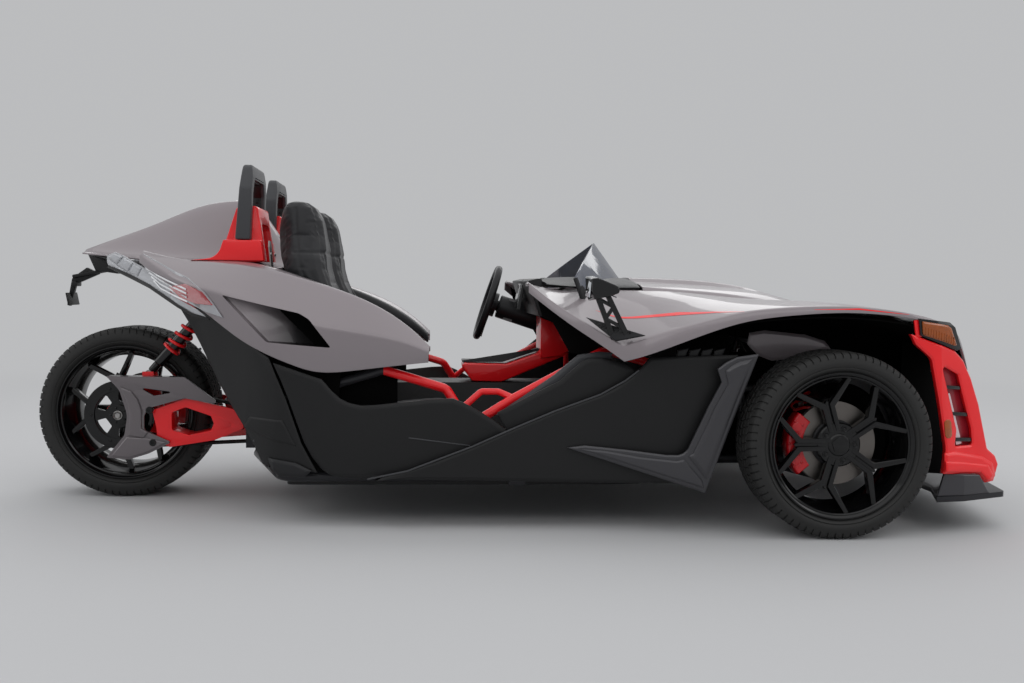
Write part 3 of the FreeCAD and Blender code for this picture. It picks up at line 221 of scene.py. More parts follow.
# %% [markdown]
# The table gives each finish its colour, its roughness and what else it needs. Black plastic and rubber get a
# low specular level, shine, because a plain black shader would look grey under a large soft light.

# %% The finishes
FINISHES = {
    "body_paint": ((0.25, 0.218, 0.23), 0.36, dict(metallic=0.3, coat=0.6, vary=0.04, grain=0.05,
                                                   grain_size=2600)),
    "red_paint": ((0.82, 0.008, 0.012), 0.32, dict(coat=0.45, vary=0.05, rough_vary=0.05, shine=0.3)),
    "dark_paint": ((0.022, 0.022, 0.025), 0.4, dict(metallic=0.3, coat=0.2, vary=0.08, grain=0.08,
                                                    grain_size=2400, shine=0.25)),
    "wheel_black": ((0.003, 0.003, 0.0033), 0.14, dict(coat=0.3, vary=0.1, rough_vary=0.04, shine=0.25)),
    "black_plastic": ((0.008, 0.008, 0.0085), 0.42, dict(vary=0.15, grain=0.3, grain_size=1100, shine=0.3)),
    "tyre": ((0.019, 0.0188, 0.0182), 0.62, dict(vary=0.2, patch=14, grain=0.2, grain_size=700, shine=0.35)),
    "rubber": ((0.015, 0.015, 0.015), 0.65, dict(vary=0.2, patch=20, grain=0.15, shine=0.2)),
    "steel": ((0.36, 0.35, 0.34), 0.32, dict(metallic=1.0, vary=0.1, patch=40, rough_vary=0.12)),
    "cast_metal": ((0.035, 0.035, 0.037), 0.5, dict(metallic=0.5, vary=0.2, grain=0.3, grain_size=500,
                                                    shine=0.25)),
    "seat_cover": ((0.02, 0.02, 0.022), 0.45, dict(vary=0.12, sheen=0.08, grain=0.45, grain_size=420,
                                                   shine=0.25)),
    "lamp": ((0.75, 0.77, 0.8), 0.08, dict(vary=0.05, Transmission_Weight=0.85, IOR=1.5)),
    "tail_lens": ((0.42, 0.012, 0.02), 0.1, dict(vary=0.1, Transmission_Weight=0.25, coat=0.6)),
    "disc_face": ((0.15, 0.138, 0.128), 0.34, dict(metallic=1.0, vary=0.12, patch=30)),
    "caliper_paint": ((0.52, 0.006, 0.011), 0.28, dict(coat=0.5, vary=0.08, shine=0.3)),
    "trim_black": ((0.016, 0.016, 0.0175), 0.36, dict(vary=0.12, grain=0.12, grain_size=1500, shine=0.25)),
    "gloss_black": ((0.005, 0.005, 0.0055), 0.12, dict(coat=0.3, vary=0.1, shine=0.3)),
    "clear_lens": ((0.66, 0.67, 0.7), 0.06, dict(vary=0.04, Transmission_Weight=0.45, IOR=1.45, coat=0.7)),
    "light_bar": ((0.62, 0.5, 0.52), 0.2, dict(vary=0.03, coat=0.6)),
    "lamp_stripe": ((0.86, 0.86, 0.88), 0.15, dict(vary=0.03, coat=0.5)),
    "graphite": ((0.05, 0.049, 0.054), 0.32, dict(metallic=0.5, coat=0.4, vary=0.06, grain=0.06,
                                                  grain_size=2400, shine=0.3)),
    "amber_lens": ((0.32, 0.068, 0.003), 0.12, dict(vary=0.25, patch=60, coat=0.3)),
    "guard_paint": ((0.13, 0.113, 0.12), 0.34, dict(metallic=0.35, coat=0.6, vary=0.04, grain=0.05,
                                                    grain_size=2600)),
    "slot_red": ((0.26, 0.01, 0.02), 0.4, dict(coat=0.3, vary=0.08, shine=0.3)),
    "bright_red": ((0.9, 0.01, 0.014), 0.32, dict(coat=0.4, vary=0.04, rough_vary=0.05, shine=0.3)),
    "hoop_grey": ((0.055, 0.056, 0.06), 0.42, dict(vary=0.1, grain=0.2, grain_size=1300, shine=0.3)),
    "stalk_grey": ((0.16, 0.16, 0.165), 0.5, dict(vary=0.1, grain=0.1)),
    "liner_black": ((0.003, 0.003, 0.003), 0.9, dict(vary=0.2, shine=0.05)),
    "mirror_glass": ((0.7, 0.72, 0.75), 0.02, dict(metallic=1.0, vary=0.02, rough_vary=0.01)),
    "tinted_glass": ((0.012, 0.022, 0.06), 0.03, dict(vary=0.05, Alpha=0.8, coat=0.5, shine=0.3)),
}
MATERIALS = {name: finish(name, color, roughness, **more)
             for name, (color, roughness, more) in FINISHES.items()}


# %% [markdown]
# The scoop behind the door is in the body's paint, with painted shade: its colour is darkened towards its
# mouth, where the light is lost in it. Two places along the car set where the painted shade starts and where
# it is full. Then every node of the frame gets the finish of its slot.


# %% The scoop's paint with painted shade, and a finish on every node
def scoop_painted_shade(lit_to=-0.98, dark_from=-0.80):
    """The body's paint with painted shade, which darkens its colour towards the front of the scoop behind the
    door.
    """
    color, roughness, more = FINISHES["body_paint"]
    material = finish("scoop_painted_shade", color, roughness, **more)
    tree = material.node_tree
    base = tree.nodes["Principled BSDF"].inputs["Base Color"]
    parts = node_in(tree, "SeparateXYZ", {0: node_in(tree, "TexCoord").outputs["Object"]})
    # Painted shade: the colour is mixed towards near black from lit_to to dark_from, towards the scoop's
    # front.
    shade = node_in(tree, "MapRange", {"Value": parts.outputs["X"], "From Min": lit_to,
                                       "From Max": dark_from})
    dark = node_in(tree, "Mix", {"Factor": shade.outputs["Result"], "A": base.links[0].from_socket,
                                 "B": (0.012, 0.011, 0.012, 1)}, data_type="RGBA")
    tree.links.new(dark.outputs["Result"], base)
    return material


MATERIALS["scoop_painted_shade"] = scoop_painted_shade()
for node, obj in NODES.items():
    obj.data.materials.clear()
    obj.data.materials.append(MATERIALS[SLOT_OF[node]])
print(len(MATERIALS), "finishes on", len(NODES), "nodes")

# %% [markdown]
# ## Softened edges
# No moulded, cast or cut piece has a knife edge: a millimetre or two of radius is what catches the light. The
# frame comes as loose triangles, so a copy of each piece is merged, its flat faces are made whole, and its
# corners are bevelled. The copy is what shows, and the frame's own piece stays behind it for the motion.


# %% Pieces that ride on a body, and copies with bevelled corners
def add_piece(name, bm, material, body="car", sharp=35):
    """Makes a bmesh a piece that rides on a body, shaded smooth except across sharp corners."""
    mesh = bpy.data.meshes.new(name)
    bm.to_mesh(mesh)
    bm.free()
    mesh.shade_smooth()
    mesh.set_sharp_from_angle(angle=math.radians(sharp))
    piece = bpy.data.objects.new(name, mesh)
    bpy.context.scene.collection.objects.link(piece)
    mesh.materials.append(MATERIALS[material])
    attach(piece, body)
    return piece


def rounded(bm, edges, width, segments=2, profile=0.5):
    """Bevels edges to a width."""
    return bmesh.ops.bevel(bm, geom=list(edges), offset=width, offset_type="OFFSET", segments=segments,
                           profile=profile, affect="EDGES", clamp_overlap=True, material=-1)


def corners_of(edges, angle):
    """The edges whose two faces turn by more than an angle in degrees."""
    return [e for e in edges if len(e.link_faces) == 2 and e.calc_face_angle() > math.radians(angle)]


def bevel_corners(bm, width, angle=28, segments=2):
    rounded(bm, corners_of(bm.edges, angle), width, segments)


def merged(node):
    """A copy of a node's mesh with its doubles merged and its flat faces made whole."""
    bm = bmesh.new()
    bm.from_mesh(NODES[node].data)
    bmesh.ops.remove_doubles(bm, verts=bm.verts, dist=0.00005)
    bmesh.ops.dissolve_limit(bm, angle_limit=math.radians(1), verts=bm.verts, edges=bm.edges)
    return bm


def softened(node, width, segments=2, material=None, angle=28):
    """A merged and bevelled copy of a frame's piece, which replaces it."""
    bm = merged(node)
    bevel_corners(bm, width, angle, segments)
    piece = add_piece(node + "_soft", bm, material or SLOT_OF[node], BODY_OF[node], sharp=50)
    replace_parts(piece, node)
    return piece


# %% [markdown]
# ## Small forms
# Most fittings come down to a few forms: a plate cut to an outline, a turned shape, a bolt. Each helper
# starts from a few points or a circle and lets an operator do the rest, and each adds to a bmesh, so that one
# piece can be made of several forms.


# %% Plates, turned shapes and bolts
def mm(points):
    """Points given in mm, in metres."""
    return [tuple(value * MM for value in point) for point in points]


def spot(x, y, z):
    return Vector((x, y, z)) * MM


def cut_by(bm, place, direction, **how):
    """Cuts the whole bmesh by a plane."""
    bmesh.ops.bisect_plane(bm, geom=bm.verts[:] + bm.edges[:] + bm.faces[:], plane_co=place,
                           plane_no=direction, **how)


def slice_of(node, name, material, cuts, width=0.001):
    """The part of a node that lies ahead of every cut, which is a place and a direction."""
    bm = merged(node)
    for place, direction in cuts:
        cut_by(bm, place, direction, clear_inner=True)
        bmesh.ops.holes_fill(bm, edges=[e for e in bm.edges if e.is_boundary], sides=0)
    bevel_corners(bm, width, angle=20)
    return add_piece(name, bm, material, BODY_OF[node], sharp=30)


def faces_of(verts):
    return list({f for v in verts for f in v.link_faces})


def edges_of(verts):
    return list({e for v in verts for e in v.link_edges})


def raise_face(bm, face, height):
    """Pulls one face up into a solid. Returns the new upper vertices."""
    made = bmesh.ops.extrude_face_region(bm, geom=[face])["geom"]
    top = [v for v in made if isinstance(v, bmesh.types.BMVert)]
    bmesh.ops.translate(bm, verts=top, vec=(0, 0, height))
    return top


def outline_plate(bm, points, thickness, bevel=0.0, segments=2):
    """A plate in the XY plane from z = 0 up, cut to an outline. Its upper edge may be bevelled."""
    verts = [bm.verts.new((x, y, 0)) for x, y in points]
    rim = [bm.edges.new((verts[i - 1], verts[i])) for i in range(len(verts))]
    face = bmesh.ops.contextual_create(bm, geom=rim)["faces"][0]
    face.normal_update()
    if face.normal.z > 0:
        face.normal_flip()
    top = raise_face(bm, face, thickness)
    whole = set(verts) | set(top)
    if bevel:
        done = rounded(bm, [e for e in bm.edges if e.verts[0] in top and e.verts[1] in top], bevel, segments)
        whole = {v for v in whole if v.is_valid} | set(done["verts"])
    bmesh.ops.recalc_face_normals(bm, faces=faces_of(whole))
    return list(whole)


def stand(verts, across, sign=1):
    """Stands a plate up along the car, its lower face at a distance from the car's middle."""
    for vert in verts:
        vert.co = Vector((vert.co.x, sign * (across + vert.co.z), vert.co.y))


def box(bm, size, matrix):
    """A block of a size, put in its place."""
    return put(bm, bmesh.ops.create_cube(bm, size=1)["verts"], matrix @ Matrix.Diagonal((*size, 1)))


def prism(bm, sides, radius, height):
    """An upright solid with equal sides. Returns its lower and its upper vertices."""
    low = bmesh.ops.create_circle(bm, cap_ends=True, segments=sides, radius=radius)["verts"]
    return low, raise_face(bm, faces_of(low)[0], height)


def turned(bm, profile, steps=64, closed=True):
    """A turned shape about the Z axis from (radius, height) points. A closed profile makes a ring."""
    verts = [bm.verts.new((r, 0, z)) for r, z in profile]
    pairs = list(zip(verts, verts[1:])) + ([(verts[-1], verts[0])] if closed else [])
    bmesh.ops.spin(bm, geom=verts + [bm.edges.new(pair) for pair in pairs], cent=(0, 0, 0), axis=(0, 0, 1),
                   dvec=(0, 0, 0), angle=2 * math.pi, steps=steps, use_merge=True, use_normal_flip=False,
                   use_duplicate=False)
    bmesh.ops.remove_doubles(bm, verts=linked(verts), dist=0.00002)
    whole = linked(verts)
    bmesh.ops.recalc_face_normals(bm, faces=faces_of(whole))
    return whole


def linked(seeds):
    """Every vertex joined by edges to the given ones that are still there."""
    waiting = [v for v in seeds if v.is_valid]
    seen = set(waiting)
    while waiting:
        for edge in waiting.pop().link_edges:
            for vert in edge.verts:
                if vert not in seen:
                    seen.add(vert)
                    waiting.append(vert)
    return list(seen)


def aim(place, direction, up=(0, 0, 1)):
    """A matrix that takes the Z axis to a direction and the origin to a place."""
    z = Vector(direction).normalized()
    x = Vector(up).cross(z)
    x = x.normalized() if x.length > 1e-6 else Vector((1, 0, 0))
    return Matrix.Translation(place) @ Matrix((x, z.cross(x), z)).transposed().to_4x4()


def put(bm, verts, matrix):
    bmesh.ops.transform(bm, matrix=matrix, verts=verts)
    return verts


def bolt(bm, place, direction, size=0.006, height=0.004):
    """A button-head bolt with a six-sided recess, which stands on a surface."""
    head = turned(bm, [(0, height), (size * 0.45, height), (size * 0.8, height * 0.75), (size, height * 0.2),
                       (size, -0.002), (0, -0.002)], steps=12, closed=False)
    socket = [f for f in faces_of(head) if f.calc_center_median().z > height * 0.95]
    bmesh.ops.inset_region(bm, faces=socket, thickness=size * 0.05, depth=-height * 0.5, use_even_offset=True)
    return put(bm, linked(head), aim(place, direction))


def rod(bm, start, end, radius, steps=16, bevel=0.0015):
    """A straight round bar with slightly rounded ends."""
    start, end = Vector(start), Vector(end)
    length = (end - start).length
    bar = turned(bm, [(0, 0), (radius - bevel, 0), (radius, bevel), (radius, length - bevel),
                      (radius - bevel, length), (0, length)], steps=steps, closed=False)
    return put(bm, bar, aim(start, end - start))


# %% [markdown]
# ## Body panels
# A car's outer skin is a set of moulded shells. A shell is easiest to steer from a coarse grid: each station
# along the car is one row of points, subdivision fills in the curve between them, and a crease keeps a fold
# crisp where the real panel has one. Solidify then gives the skin its thickness, and a small bevel rounds its
# rim.


# %% A shell from stations along the car
def shell(name, stations, material, body="car", sign=1, folds=(), pins=(), thickness=0.008, levels=3,
          rim=0.0015, out=(0, 0, 1)):
    """A skin through rows of (across, up) points in mm at each x, with creased columns and pinned points."""
    rows = list(stations.items())
    across = len(rows[0][1])
    bm = bmesh.new()
    bmesh.ops.create_grid(bm, x_segments=across - 1, y_segments=len(rows) - 1, size=1)
    bm.verts.ensure_lookup_table()
    for r, (x, row) in enumerate(rows):
        for c, (y, z) in enumerate(row):
            bm.verts[r * across + c].co = (x * MM, y * MM * sign, z * MM)
    edge_crease = bm.edges.layers.float.new("crease_edge")
    vert_crease = bm.verts.layers.float.new("crease_vert")
    for column, strength in dict(folds).items():
        for r in range(len(rows) - 1):
            ends = bm.verts[r * across + column], bm.verts[(r + 1) * across + column]
            bm.edges.get(ends)[edge_crease] = strength
    for r, c in list(pins) + [(0, 0), (0, across - 1), (len(rows) - 1, 0), (len(rows) - 1, across - 1)]:
        bm.verts[r * across + c][vert_crease] = 1.0
    facing = sum((f.normal * f.calc_area() for f in bm.faces), Vector()).dot(Vector(out))
    if facing < 0:
        bmesh.ops.reverse_faces(bm, faces=bm.faces)
    piece = add_piece(name, bm, material, body, sharp=180)
    smooth = piece.modifiers.new("curve", "SUBSURF")
    smooth.levels = smooth.render_levels = levels
    wall = piece.modifiers.new("wall", "SOLIDIFY")
    wall.thickness, wall.offset, wall.use_even_offset = thickness, -1, False
    edge = piece.modifiers.new("rim", "BEVEL")
    edge.width, edge.segments, edge.limit_method, edge.angle_limit = rim, 2, "ANGLE", math.radians(50)
    return piece

# %% [markdown]
# ## Bonnet and cowl
# The bonnet runs from the windshield to the nose with a raised middle whose sides fold down sharply. Its half
# row is written once, from the middle outwards, and mirrored, so that both sides match.


# %% Bonnet and cowl
def both_halves(stations):
    """Full rows from half rows that start on the car's middle line."""
    return {x: [(-y, z) for y, z in half[:0:-1]] + half for x, half in stations.items()}


BONNET = {
    500: [(0, 908), (118, 903), (150, 888), (235, 885), (350, 879), (425, 869), (440, 856)],
    640: [(0, 907), (122, 902), (154, 884), (235, 882), (350, 874), (427, 858), (442, 846)],
    780: [(0, 903), (112, 896), (145, 877), (230, 876), (348, 865), (427, 850), (442, 838)],
    900: [(0, 893), (96, 886), (132, 868), (222, 870), (344, 856), (425, 836), (441, 824)],
    1028: [(0, 872), (74, 866), (112, 855), (215, 857), (340, 842), (424, 815), (440, 803)],
    1129: [(0, 842), (56, 839), (96, 835), (208, 830), (334, 815), (421, 792), (437, 780)],
    1270: [(0, 797), (50, 796), (88, 793), (196, 787), (325, 776), (417, 756), (433, 745)],
    1400: [(0, 745), (46, 744), (84, 742), (184, 738), (314, 730), (412, 716), (428, 705)],
    1540: [(0, 694), (40, 693), (76, 692), (158, 688), (262, 680), (366, 668), (384, 657)],
    1650: [(0, 640), (34, 640), (66, 638), (126, 635), (206, 629), (312, 619), (330, 609)],
    1780: [(0, 581), (24, 581), (46, 580), (80, 578), (124, 574), (186, 567), (204, 558)],
    1885: [(0, 521), (10, 521), (20, 521), (32, 520), (46, 518), (62, 514), (70, 506)],
}
bonnet = shell("bonnet_skin", both_halves(BONNET), "body_paint", "hood",
               folds={1: 0.8, 4: 0.9, 5: 0.9, 7: 0.9, 8: 0.9, 11: 0.8}, thickness=0.007)
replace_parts(bonnet, "hood")

COWL = {
    118: [(0, 896), (180, 894), (300, 889), (440, 884), (527, 876)],
    200: [(0, 906), (180, 903), (300, 894), (420, 881), (488, 869)],
    300: [(0, 910), (180, 906), (300, 895), (400, 878), (444, 863)],
    490: [(0, 906), (180, 900), (300, 889), (400, 877), (432, 866)],
}
cowl = shell("cowl_skin", both_halves(COWL), "black_plastic", folds={0: 0.5}, thickness=0.006)
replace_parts(cowl, "cowl")
print("bonnet and cowl", len(BONNET), "and", len(COWL), "stations")

# %% [markdown]
# ## Fenders and quarters
# The fender flows from the mirror's foot over the front wheel, and ends in a straight band that is folded
# down along its lower edge. The quarter does the same behind the door, and rises to the tail. The band is one
# more column of the grid with a full crease at its top.

# %% Fenders and quarters
FENDER = {
    34: [(560, 882), (600, 888), (645, 890), (672, 889), (696, 886), (702, 868), (704, 850)],
    110: [(535, 868), (585, 860), (640, 848), (690, 834), (738, 822), (745, 804), (748, 788)],
    200: [(508, 852), (570, 836), (640, 812), (710, 788), (782, 762), (788, 742), (791, 722)],
    290: [(478, 860), (560, 832), (650, 794), (745, 752), (838, 708), (843, 686), (846, 664)],
    357: [(452, 862), (555, 826), (665, 776), (780, 722), (878, 668), (885, 640), (887, 614)],
    420: [(449, 862), (560, 828), (675, 786), (800, 738), (912, 694), (922, 664), (924, 634)],
    510: [(449, 862), (568, 836), (690, 798), (812, 762), (930, 724), (937, 695), (939, 668)],
    609: [(450, 860), (572, 842), (700, 812), (825, 784), (943, 753), (948, 732), (951, 708)],
    710: [(451, 852), (576, 842), (700, 824), (830, 804), (955, 782), (961, 764), (962, 745)],
    813: [(451, 842), (578, 840), (702, 832), (836, 820), (964, 803), (970, 788), (971, 772)],
    1000: [(451, 817), (580, 830), (708, 834), (846, 830), (976, 817), (982, 804), (984, 791)],
    1159: [(448, 792), (578, 814), (708, 826), (850, 828), (981, 817), (986, 807), (987, 797)],
    1348: [(445, 742), (572, 772), (700, 792), (838, 800), (957, 797), (961, 789), (962, 780)],
    1450: [(425, 708), (556, 738), (688, 760), (812, 772), (922, 774), (925, 767), (926, 758)],
    1542: [(400, 674), (540, 704), (678, 726), (786, 740), (876, 747), (880, 740), (882, 732)],
    1600: [(372, 648), (520, 672), (662, 690), (752, 700), (822, 700), (829, 686), (834, 668)],
    1640: [(350, 624), (490, 636), (604, 646), (700, 640), (782, 616), (790, 600), (796, 585)],
}
QUARTER = {
    -328: [(690, 630), (704, 637), (716, 642), (728, 647), (737, 648), (748, 641), (758, 634), (756, 618),
           (750, 600)],
    -416: [(640, 710), (658, 717), (674, 724), (692, 731), (706, 732), (734, 704), (759, 672), (758, 634),
           (750, 590)],
    -560: [(595, 794), (618, 802), (642, 808), (668, 814), (691, 816), (730, 762), (764, 700), (762, 640),
           (748, 573)],
    -713: [(572, 852), (597, 859), (622, 864), (650, 866), (673, 863), (722, 796), (767, 722), (764, 640),
           (745, 553)],
    -810: [(570, 884), (592, 892), (614, 896), (640, 896), (660, 891), (708, 824), (756, 746), (750, 668),
           (727, 586)],
    -900: [(566, 917), (586, 923), (606, 927), (628, 924), (646, 916), (696, 846), (742, 770), (732, 700),
           (707, 620)],
    -1000: [(430, 942), (478, 945), (520, 946), (566, 942), (602, 931), (660, 874), (712, 810), (704, 744),
            (682, 670)],
    -1100: [(430, 943), (468, 947), (502, 948), (534, 947), (562, 941), (622, 896), (674, 842), (664, 800),
            (642, 747)],
    -1250: [(420, 943), (440, 947), (460, 949), (482, 949), (502, 945), (548, 916), (592, 880), (592, 866),
            (587, 850)],
    -1425: [(300, 968), (312, 975), (324, 980), (338, 985), (349, 985), (364, 980), (378, 972), (383, 960),
            (386, 947)],
}
for side, sign in SIDES:
    fender = shell("fender_skin_" + side, FENDER, "body_paint", sign=sign, folds={4: 0.95},
                   pins=[(4, 6), (4, 4)], thickness=0.008, out=(0, sign * 0.6, 1))
    quarter = shell("quarter_skin_" + side, QUARTER, "body_paint", sign=sign, folds={4: 0.85, 6: 0.7},
                    thickness=0.009, out=(0, sign, 0.5))
    if sign > 0:
        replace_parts(fender, "front_fenders")
        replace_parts(quarter, "rear_quarters")
print("fenders and quarters", len(FENDER), "and", len(QUARTER), "stations")

# %% [markdown]
# ## Rear deck
# Behind the seats a narrow spine rises between the two hoops and falls to the tail. Its flanks are nearly
# upright and spread into a low deck, so the row has a tight fold at the ridge and a soft one at the foot.

# %% Rear deck
DECK = {
    -918: [(0, 1016), (30, 1015), (52, 1011), (72, 1000), (110, 962), (150, 938), (260, 934), (400, 931)],
    -985: [(0, 1118), (30, 1116), (54, 1111), (76, 1090), (112, 1010), (152, 948), (266, 938), (408, 934)],
    -1050: [(0, 1210), (32, 1209), (58, 1204), (76, 1182), (114, 1070), (152, 952), (270, 942), (415, 938)],
    -1120: [(0, 1216), (30, 1215), (56, 1211), (76, 1190), (116, 1076), (161, 956), (276, 944), (415, 940)],
    -1270: [(0, 1199), (28, 1198), (52, 1194), (74, 1172), (116, 1064), (165, 962), (274, 948), (405, 941)],
    -1450: [(0, 1113), (20, 1112), (38, 1108), (56, 1090), (92, 1028), (140, 974), (198, 968), (262, 965)],
    -1600: [(0, 1060), (16, 1059), (30, 1056), (46, 1042), (72, 1008), (104, 984), (130, 980), (160, 978)],
    -1740: [(0, 1006), (10, 1006), (18, 1004), (28, 1000), (38, 996), (50, 993), (60, 991), (70, 990)],
}
deck = shell("deck_skin", both_halves(DECK), "body_paint", folds={5: 0.75, 9: 0.75}, pins=[(2, 7), (3, 7)],
             thickness=0.006)
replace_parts(deck, "rear_deck")
print("rear deck", len(DECK), "stations")

# %% [markdown]
# ## Tyres
# A tyre is a turned shape: one section, spun about the axle. The tread's lengthwise grooves are already in
# the section. Its cross grooves are pressed in afterwards, into every fifth face round the wheel, and then
# the tread is twisted a little towards its shoulders, which slants them.


# %% Tyres
def tyre_section(radius, half, bead, grooves):
    """The closed section of a tyre as (radius, along the axle), in mm."""
    side = [(bead - 14, half - 17), (bead + 1, half - 14), (bead + 9, half - 5), (bead + 14, half - 2.5),
            (bead + 17, half - 5), (bead + 20, half - 2.5), (bead + 27, half - 0.5), (bead + 34, half),
            (radius - 31, half - 2), (radius - 24, half - 3.5), (radius - 20, half - 5),
            (radius - 14, half - 7), (radius - 7, half - 13), (radius - 2.5, half - 23)]
    tread = []
    for middle in grooves:
        tread += [(radius - 0.5, middle + 5), (radius - 7, middle + 3.5), (radius - 7, middle - 3.5),
                  (radius - 0.5, middle - 5)]
    lining = [(radius - 18, half - 50), (radius - 22, half - 28), (bead + 32, half - 14),
              (bead + 5, half - 26), (bead - 14, half - 30)]
    outer = side + tread + [(r, -y) for r, y in reversed(side)]
    return outer + [(r, -y) for r, y in reversed(lining)] + lining


def make_tyre(node, radius, half, bead, grooves, centre, pitches=72, lean=0.07):
    bm = bmesh.new()
    steps = pitches * 5
    turned(bm, [(r * MM, y * MM) for r, y in tyre_section(radius, half, bead, grooves)], steps=steps)
    edge = (radius - 25) * MM
    inner_rib = (grooves[0] + 6) * MM
    shoulder, middle = [], []
    for face in bm.faces:
        place = face.calc_center_median()
        reach = math.hypot(place.x, place.y)
        if reach < edge or reach < (radius - 6) * MM and abs(place.z) < 0.06:
            continue
        if face.normal.dot(Vector((place.x, place.y, 0))) < 0 and abs(place.z) < (half - 20) * MM:
            continue
        slot = int((math.atan2(place.y, place.x) / (2 * math.pi) % 1) * steps)
        if abs(place.z) > inner_rib and slot % 5 == 0:
            shoulder.append(face)
        elif abs(place.z) < inner_rib and slot % 5 == (2 if place.z > 0 else 4):
            middle.append(face)
    bmesh.ops.inset_region(bm, faces=shoulder, thickness=0.0006, depth=-0.0045, use_even_offset=True)
    bmesh.ops.inset_region(bm, faces=middle, thickness=0.0018, depth=-0.003, use_even_offset=True)
    for vert in bm.verts:
        if vert.co.xy.length > edge:
            turn = lean * max(0.0, abs(vert.co.z) - 0.02) / (half * MM)
            vert.co = Matrix.Rotation(turn, 3, "Z") @ vert.co
    put(bm, bm.verts[:], aim(centre, (0, 1, 0)))
    tyre = add_piece(node + "_tread", bm, "tyre", BODY_OF[node], sharp=32)
    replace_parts(tyre, node)
    return tyre


FRONT_AXLE = {side: Vector((1.112, 0.8775 * sign, 0.330)) for side, sign in SIDES}
REAR_AXLE = Vector((-1.555, 0, 0.345))
for side, sign in SIDES:
    make_tyre("front_tyre_" + side, 330, 112.5, 258.5, (54, 18, -18, -54), FRONT_AXLE[side])
tyre = make_tyre("rear_tyre", 345, 152.5, 271.5, (84, 42, 0, -42, -84), REAR_AXLE)
print("rear tyre faces", len(tyre.data.polygons))

# %% [markdown]
# ## Rims
# Each rim has five forked spokes. A fork is two slim beams that run side by side along the trunk, with a
# channel between them, and part towards the barrel. One beam is cut as a plate, stretched along the cone that
# the real spokes follow, mirrored for its twin, and the pair is repeated five times round the hub.


# %% Rims
def spoke_beam(bm, reach, width, cone):
    """One beam of a fork in the XY plane, its length along +X and its outer face along +Z."""
    outline = [(48, 5.5), (150, 5.5), (156, 10), (reach - 12, 90 * width), (reach - 24, 102 * width),
               (137, 23), (48, 22)]
    verts = outline_plate(bm, mm(outline), 0.034, bevel=0.0035, segments=2)
    for vert in verts:
        out = vert.co.x / (reach * MM)
        vert.co.z += cone(vert.co.x * 1000) * MM - 0.034
        if vert.co.z < (cone(vert.co.x * 1000) - 20) * MM:
            vert.co.z += 0.006 * (1 - out)
    return verts


def make_rim(node, edge, half, dish, sign, centre, caps, width=1.0):
    bm = bmesh.new()
    reach = edge - 22

    def cone(radius):
        return dish + 2 + 30 * max(0.0, (radius - 76) / (edge - 94)) ** 1.15

    barrel = [(edge, -half + 1), (edge, -half + 7), (edge - 15, -half + 9), (edge - 18, -half + 36),
              (edge - 36, -half + 52), (edge - 36, half - 66), (edge - 18, half - 36), (edge - 15, half - 9),
              (edge, half - 7), (edge, half - 1.5), (edge - 1.5, half), (edge - 6, half),
              (edge - 8, half - 2), (edge - 13, half - 5), (edge - 15, half - 9), (edge - 20, half - 12),
              (edge - 25, half - 38),
              (edge - 42, half - 64), (edge - 42, -half + 50), (edge - 25, -half + 34),
              (edge - 22, -half + 8), (edge - 8, -half)]
    turned(bm, mm(barrel), steps=120)
    hub = [(24, dish - 30), (76, dish - 30), (78, dish - 26), (78, dish - 5), (74, dish - 1), (40, dish + 1),
           (37, dish + 5), (33, dish + 7), (24, dish + 7)]
    turned(bm, mm(hub), steps=60)
    for arm in range(5):
        spin = Matrix.Rotation(arm * 2 * math.pi / 5, 4, "Z")
        for twin in (1, -1):
            beam = spoke_beam(bm, reach, width, cone)
            put(bm, beam, Matrix.Diagonal((1, twin, 1, 1)))
            bmesh.ops.recalc_face_normals(bm, faces=faces_of(beam))
            put(bm, beam, spin)
        web = [(48, -8), (154, -8), (163, 0), (154, 8), (48, 8)]
        channel = outline_plate(bm, mm(web), 0.016, bevel=0.001)
        for vert in channel:
            vert.co.z += (cone(vert.co.x * 1000) - 26) * MM
        put(bm, channel, spin)
        between = Matrix.Rotation((arm + 0.5) * 2 * math.pi / 5, 4, "Z")
        seat = turned(bm, [(6.5 * MM, (dish - 8) * MM), (6.5 * MM, (dish - 0.5) * MM),
                           (9 * MM, (dish + 2) * MM), (12 * MM, (dish + 2) * MM), (13 * MM, (dish - 1) * MM),
                           (13 * MM, (dish - 8) * MM)], steps=20)
        put(bm, seat, between @ Matrix.Translation((57.15 * MM, 0, 0)))
    for vert in bm.verts:
        vert.co.z *= sign
    bmesh.ops.reverse_faces(bm, faces=bm.faces if sign < 0 else [])
    put(bm, bm.verts[:], aim(centre, (0, 1, 0)))
    rim = add_piece(node + "_forks", bm, "wheel_black", BODY_OF[node], sharp=38)
    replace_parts(rim, node)
    fittings = bmesh.new()
    for arm in range(5):
        angle = (arm + 0.5) * 2 * math.pi / 5
        nut, top = prism(fittings, 6, 0.0065, 0.012)
        bmesh.ops.scale(fittings, verts=top, vec=(0.85, 0.85, 1))
        put(fittings, nut + top, Matrix.Translation((0.05715 * math.cos(angle), 0.05715 * math.sin(angle),
                                                     (dish - 10) * MM)))
    cap, top = prism(fittings, 5 if caps else 6, 0.031, 0.009)
    put(fittings, cap + top, Matrix.Translation((0, 0, (dish + 3) * MM)))
    bmesh.ops.recalc_face_normals(fittings, faces=fittings.faces)
    bevel_corners(fittings, 0.0015)
    for vert in fittings.verts:
        vert.co.z *= sign
    bmesh.ops.reverse_faces(fittings, faces=fittings.faces if sign < 0 else [])
    put(fittings, fittings.verts[:], aim(centre, (0, 1, 0)))
    add_piece(node + "_fittings", fittings, "wheel_black" if caps else "steel", BODY_OF[node])


for side, sign in SIDES:
    make_rim("front_rim_" + side, 258.5, 107, 68, sign, FRONT_AXLE[side], caps=True)
make_rim("rear_rim", 271.5, 146, 70, -1, REAR_AXLE, caps=False)
print("rims at", [tuple(round(v, 4) for v in axle) for axle in (*FRONT_AXLE.values(), REAR_AXLE)])
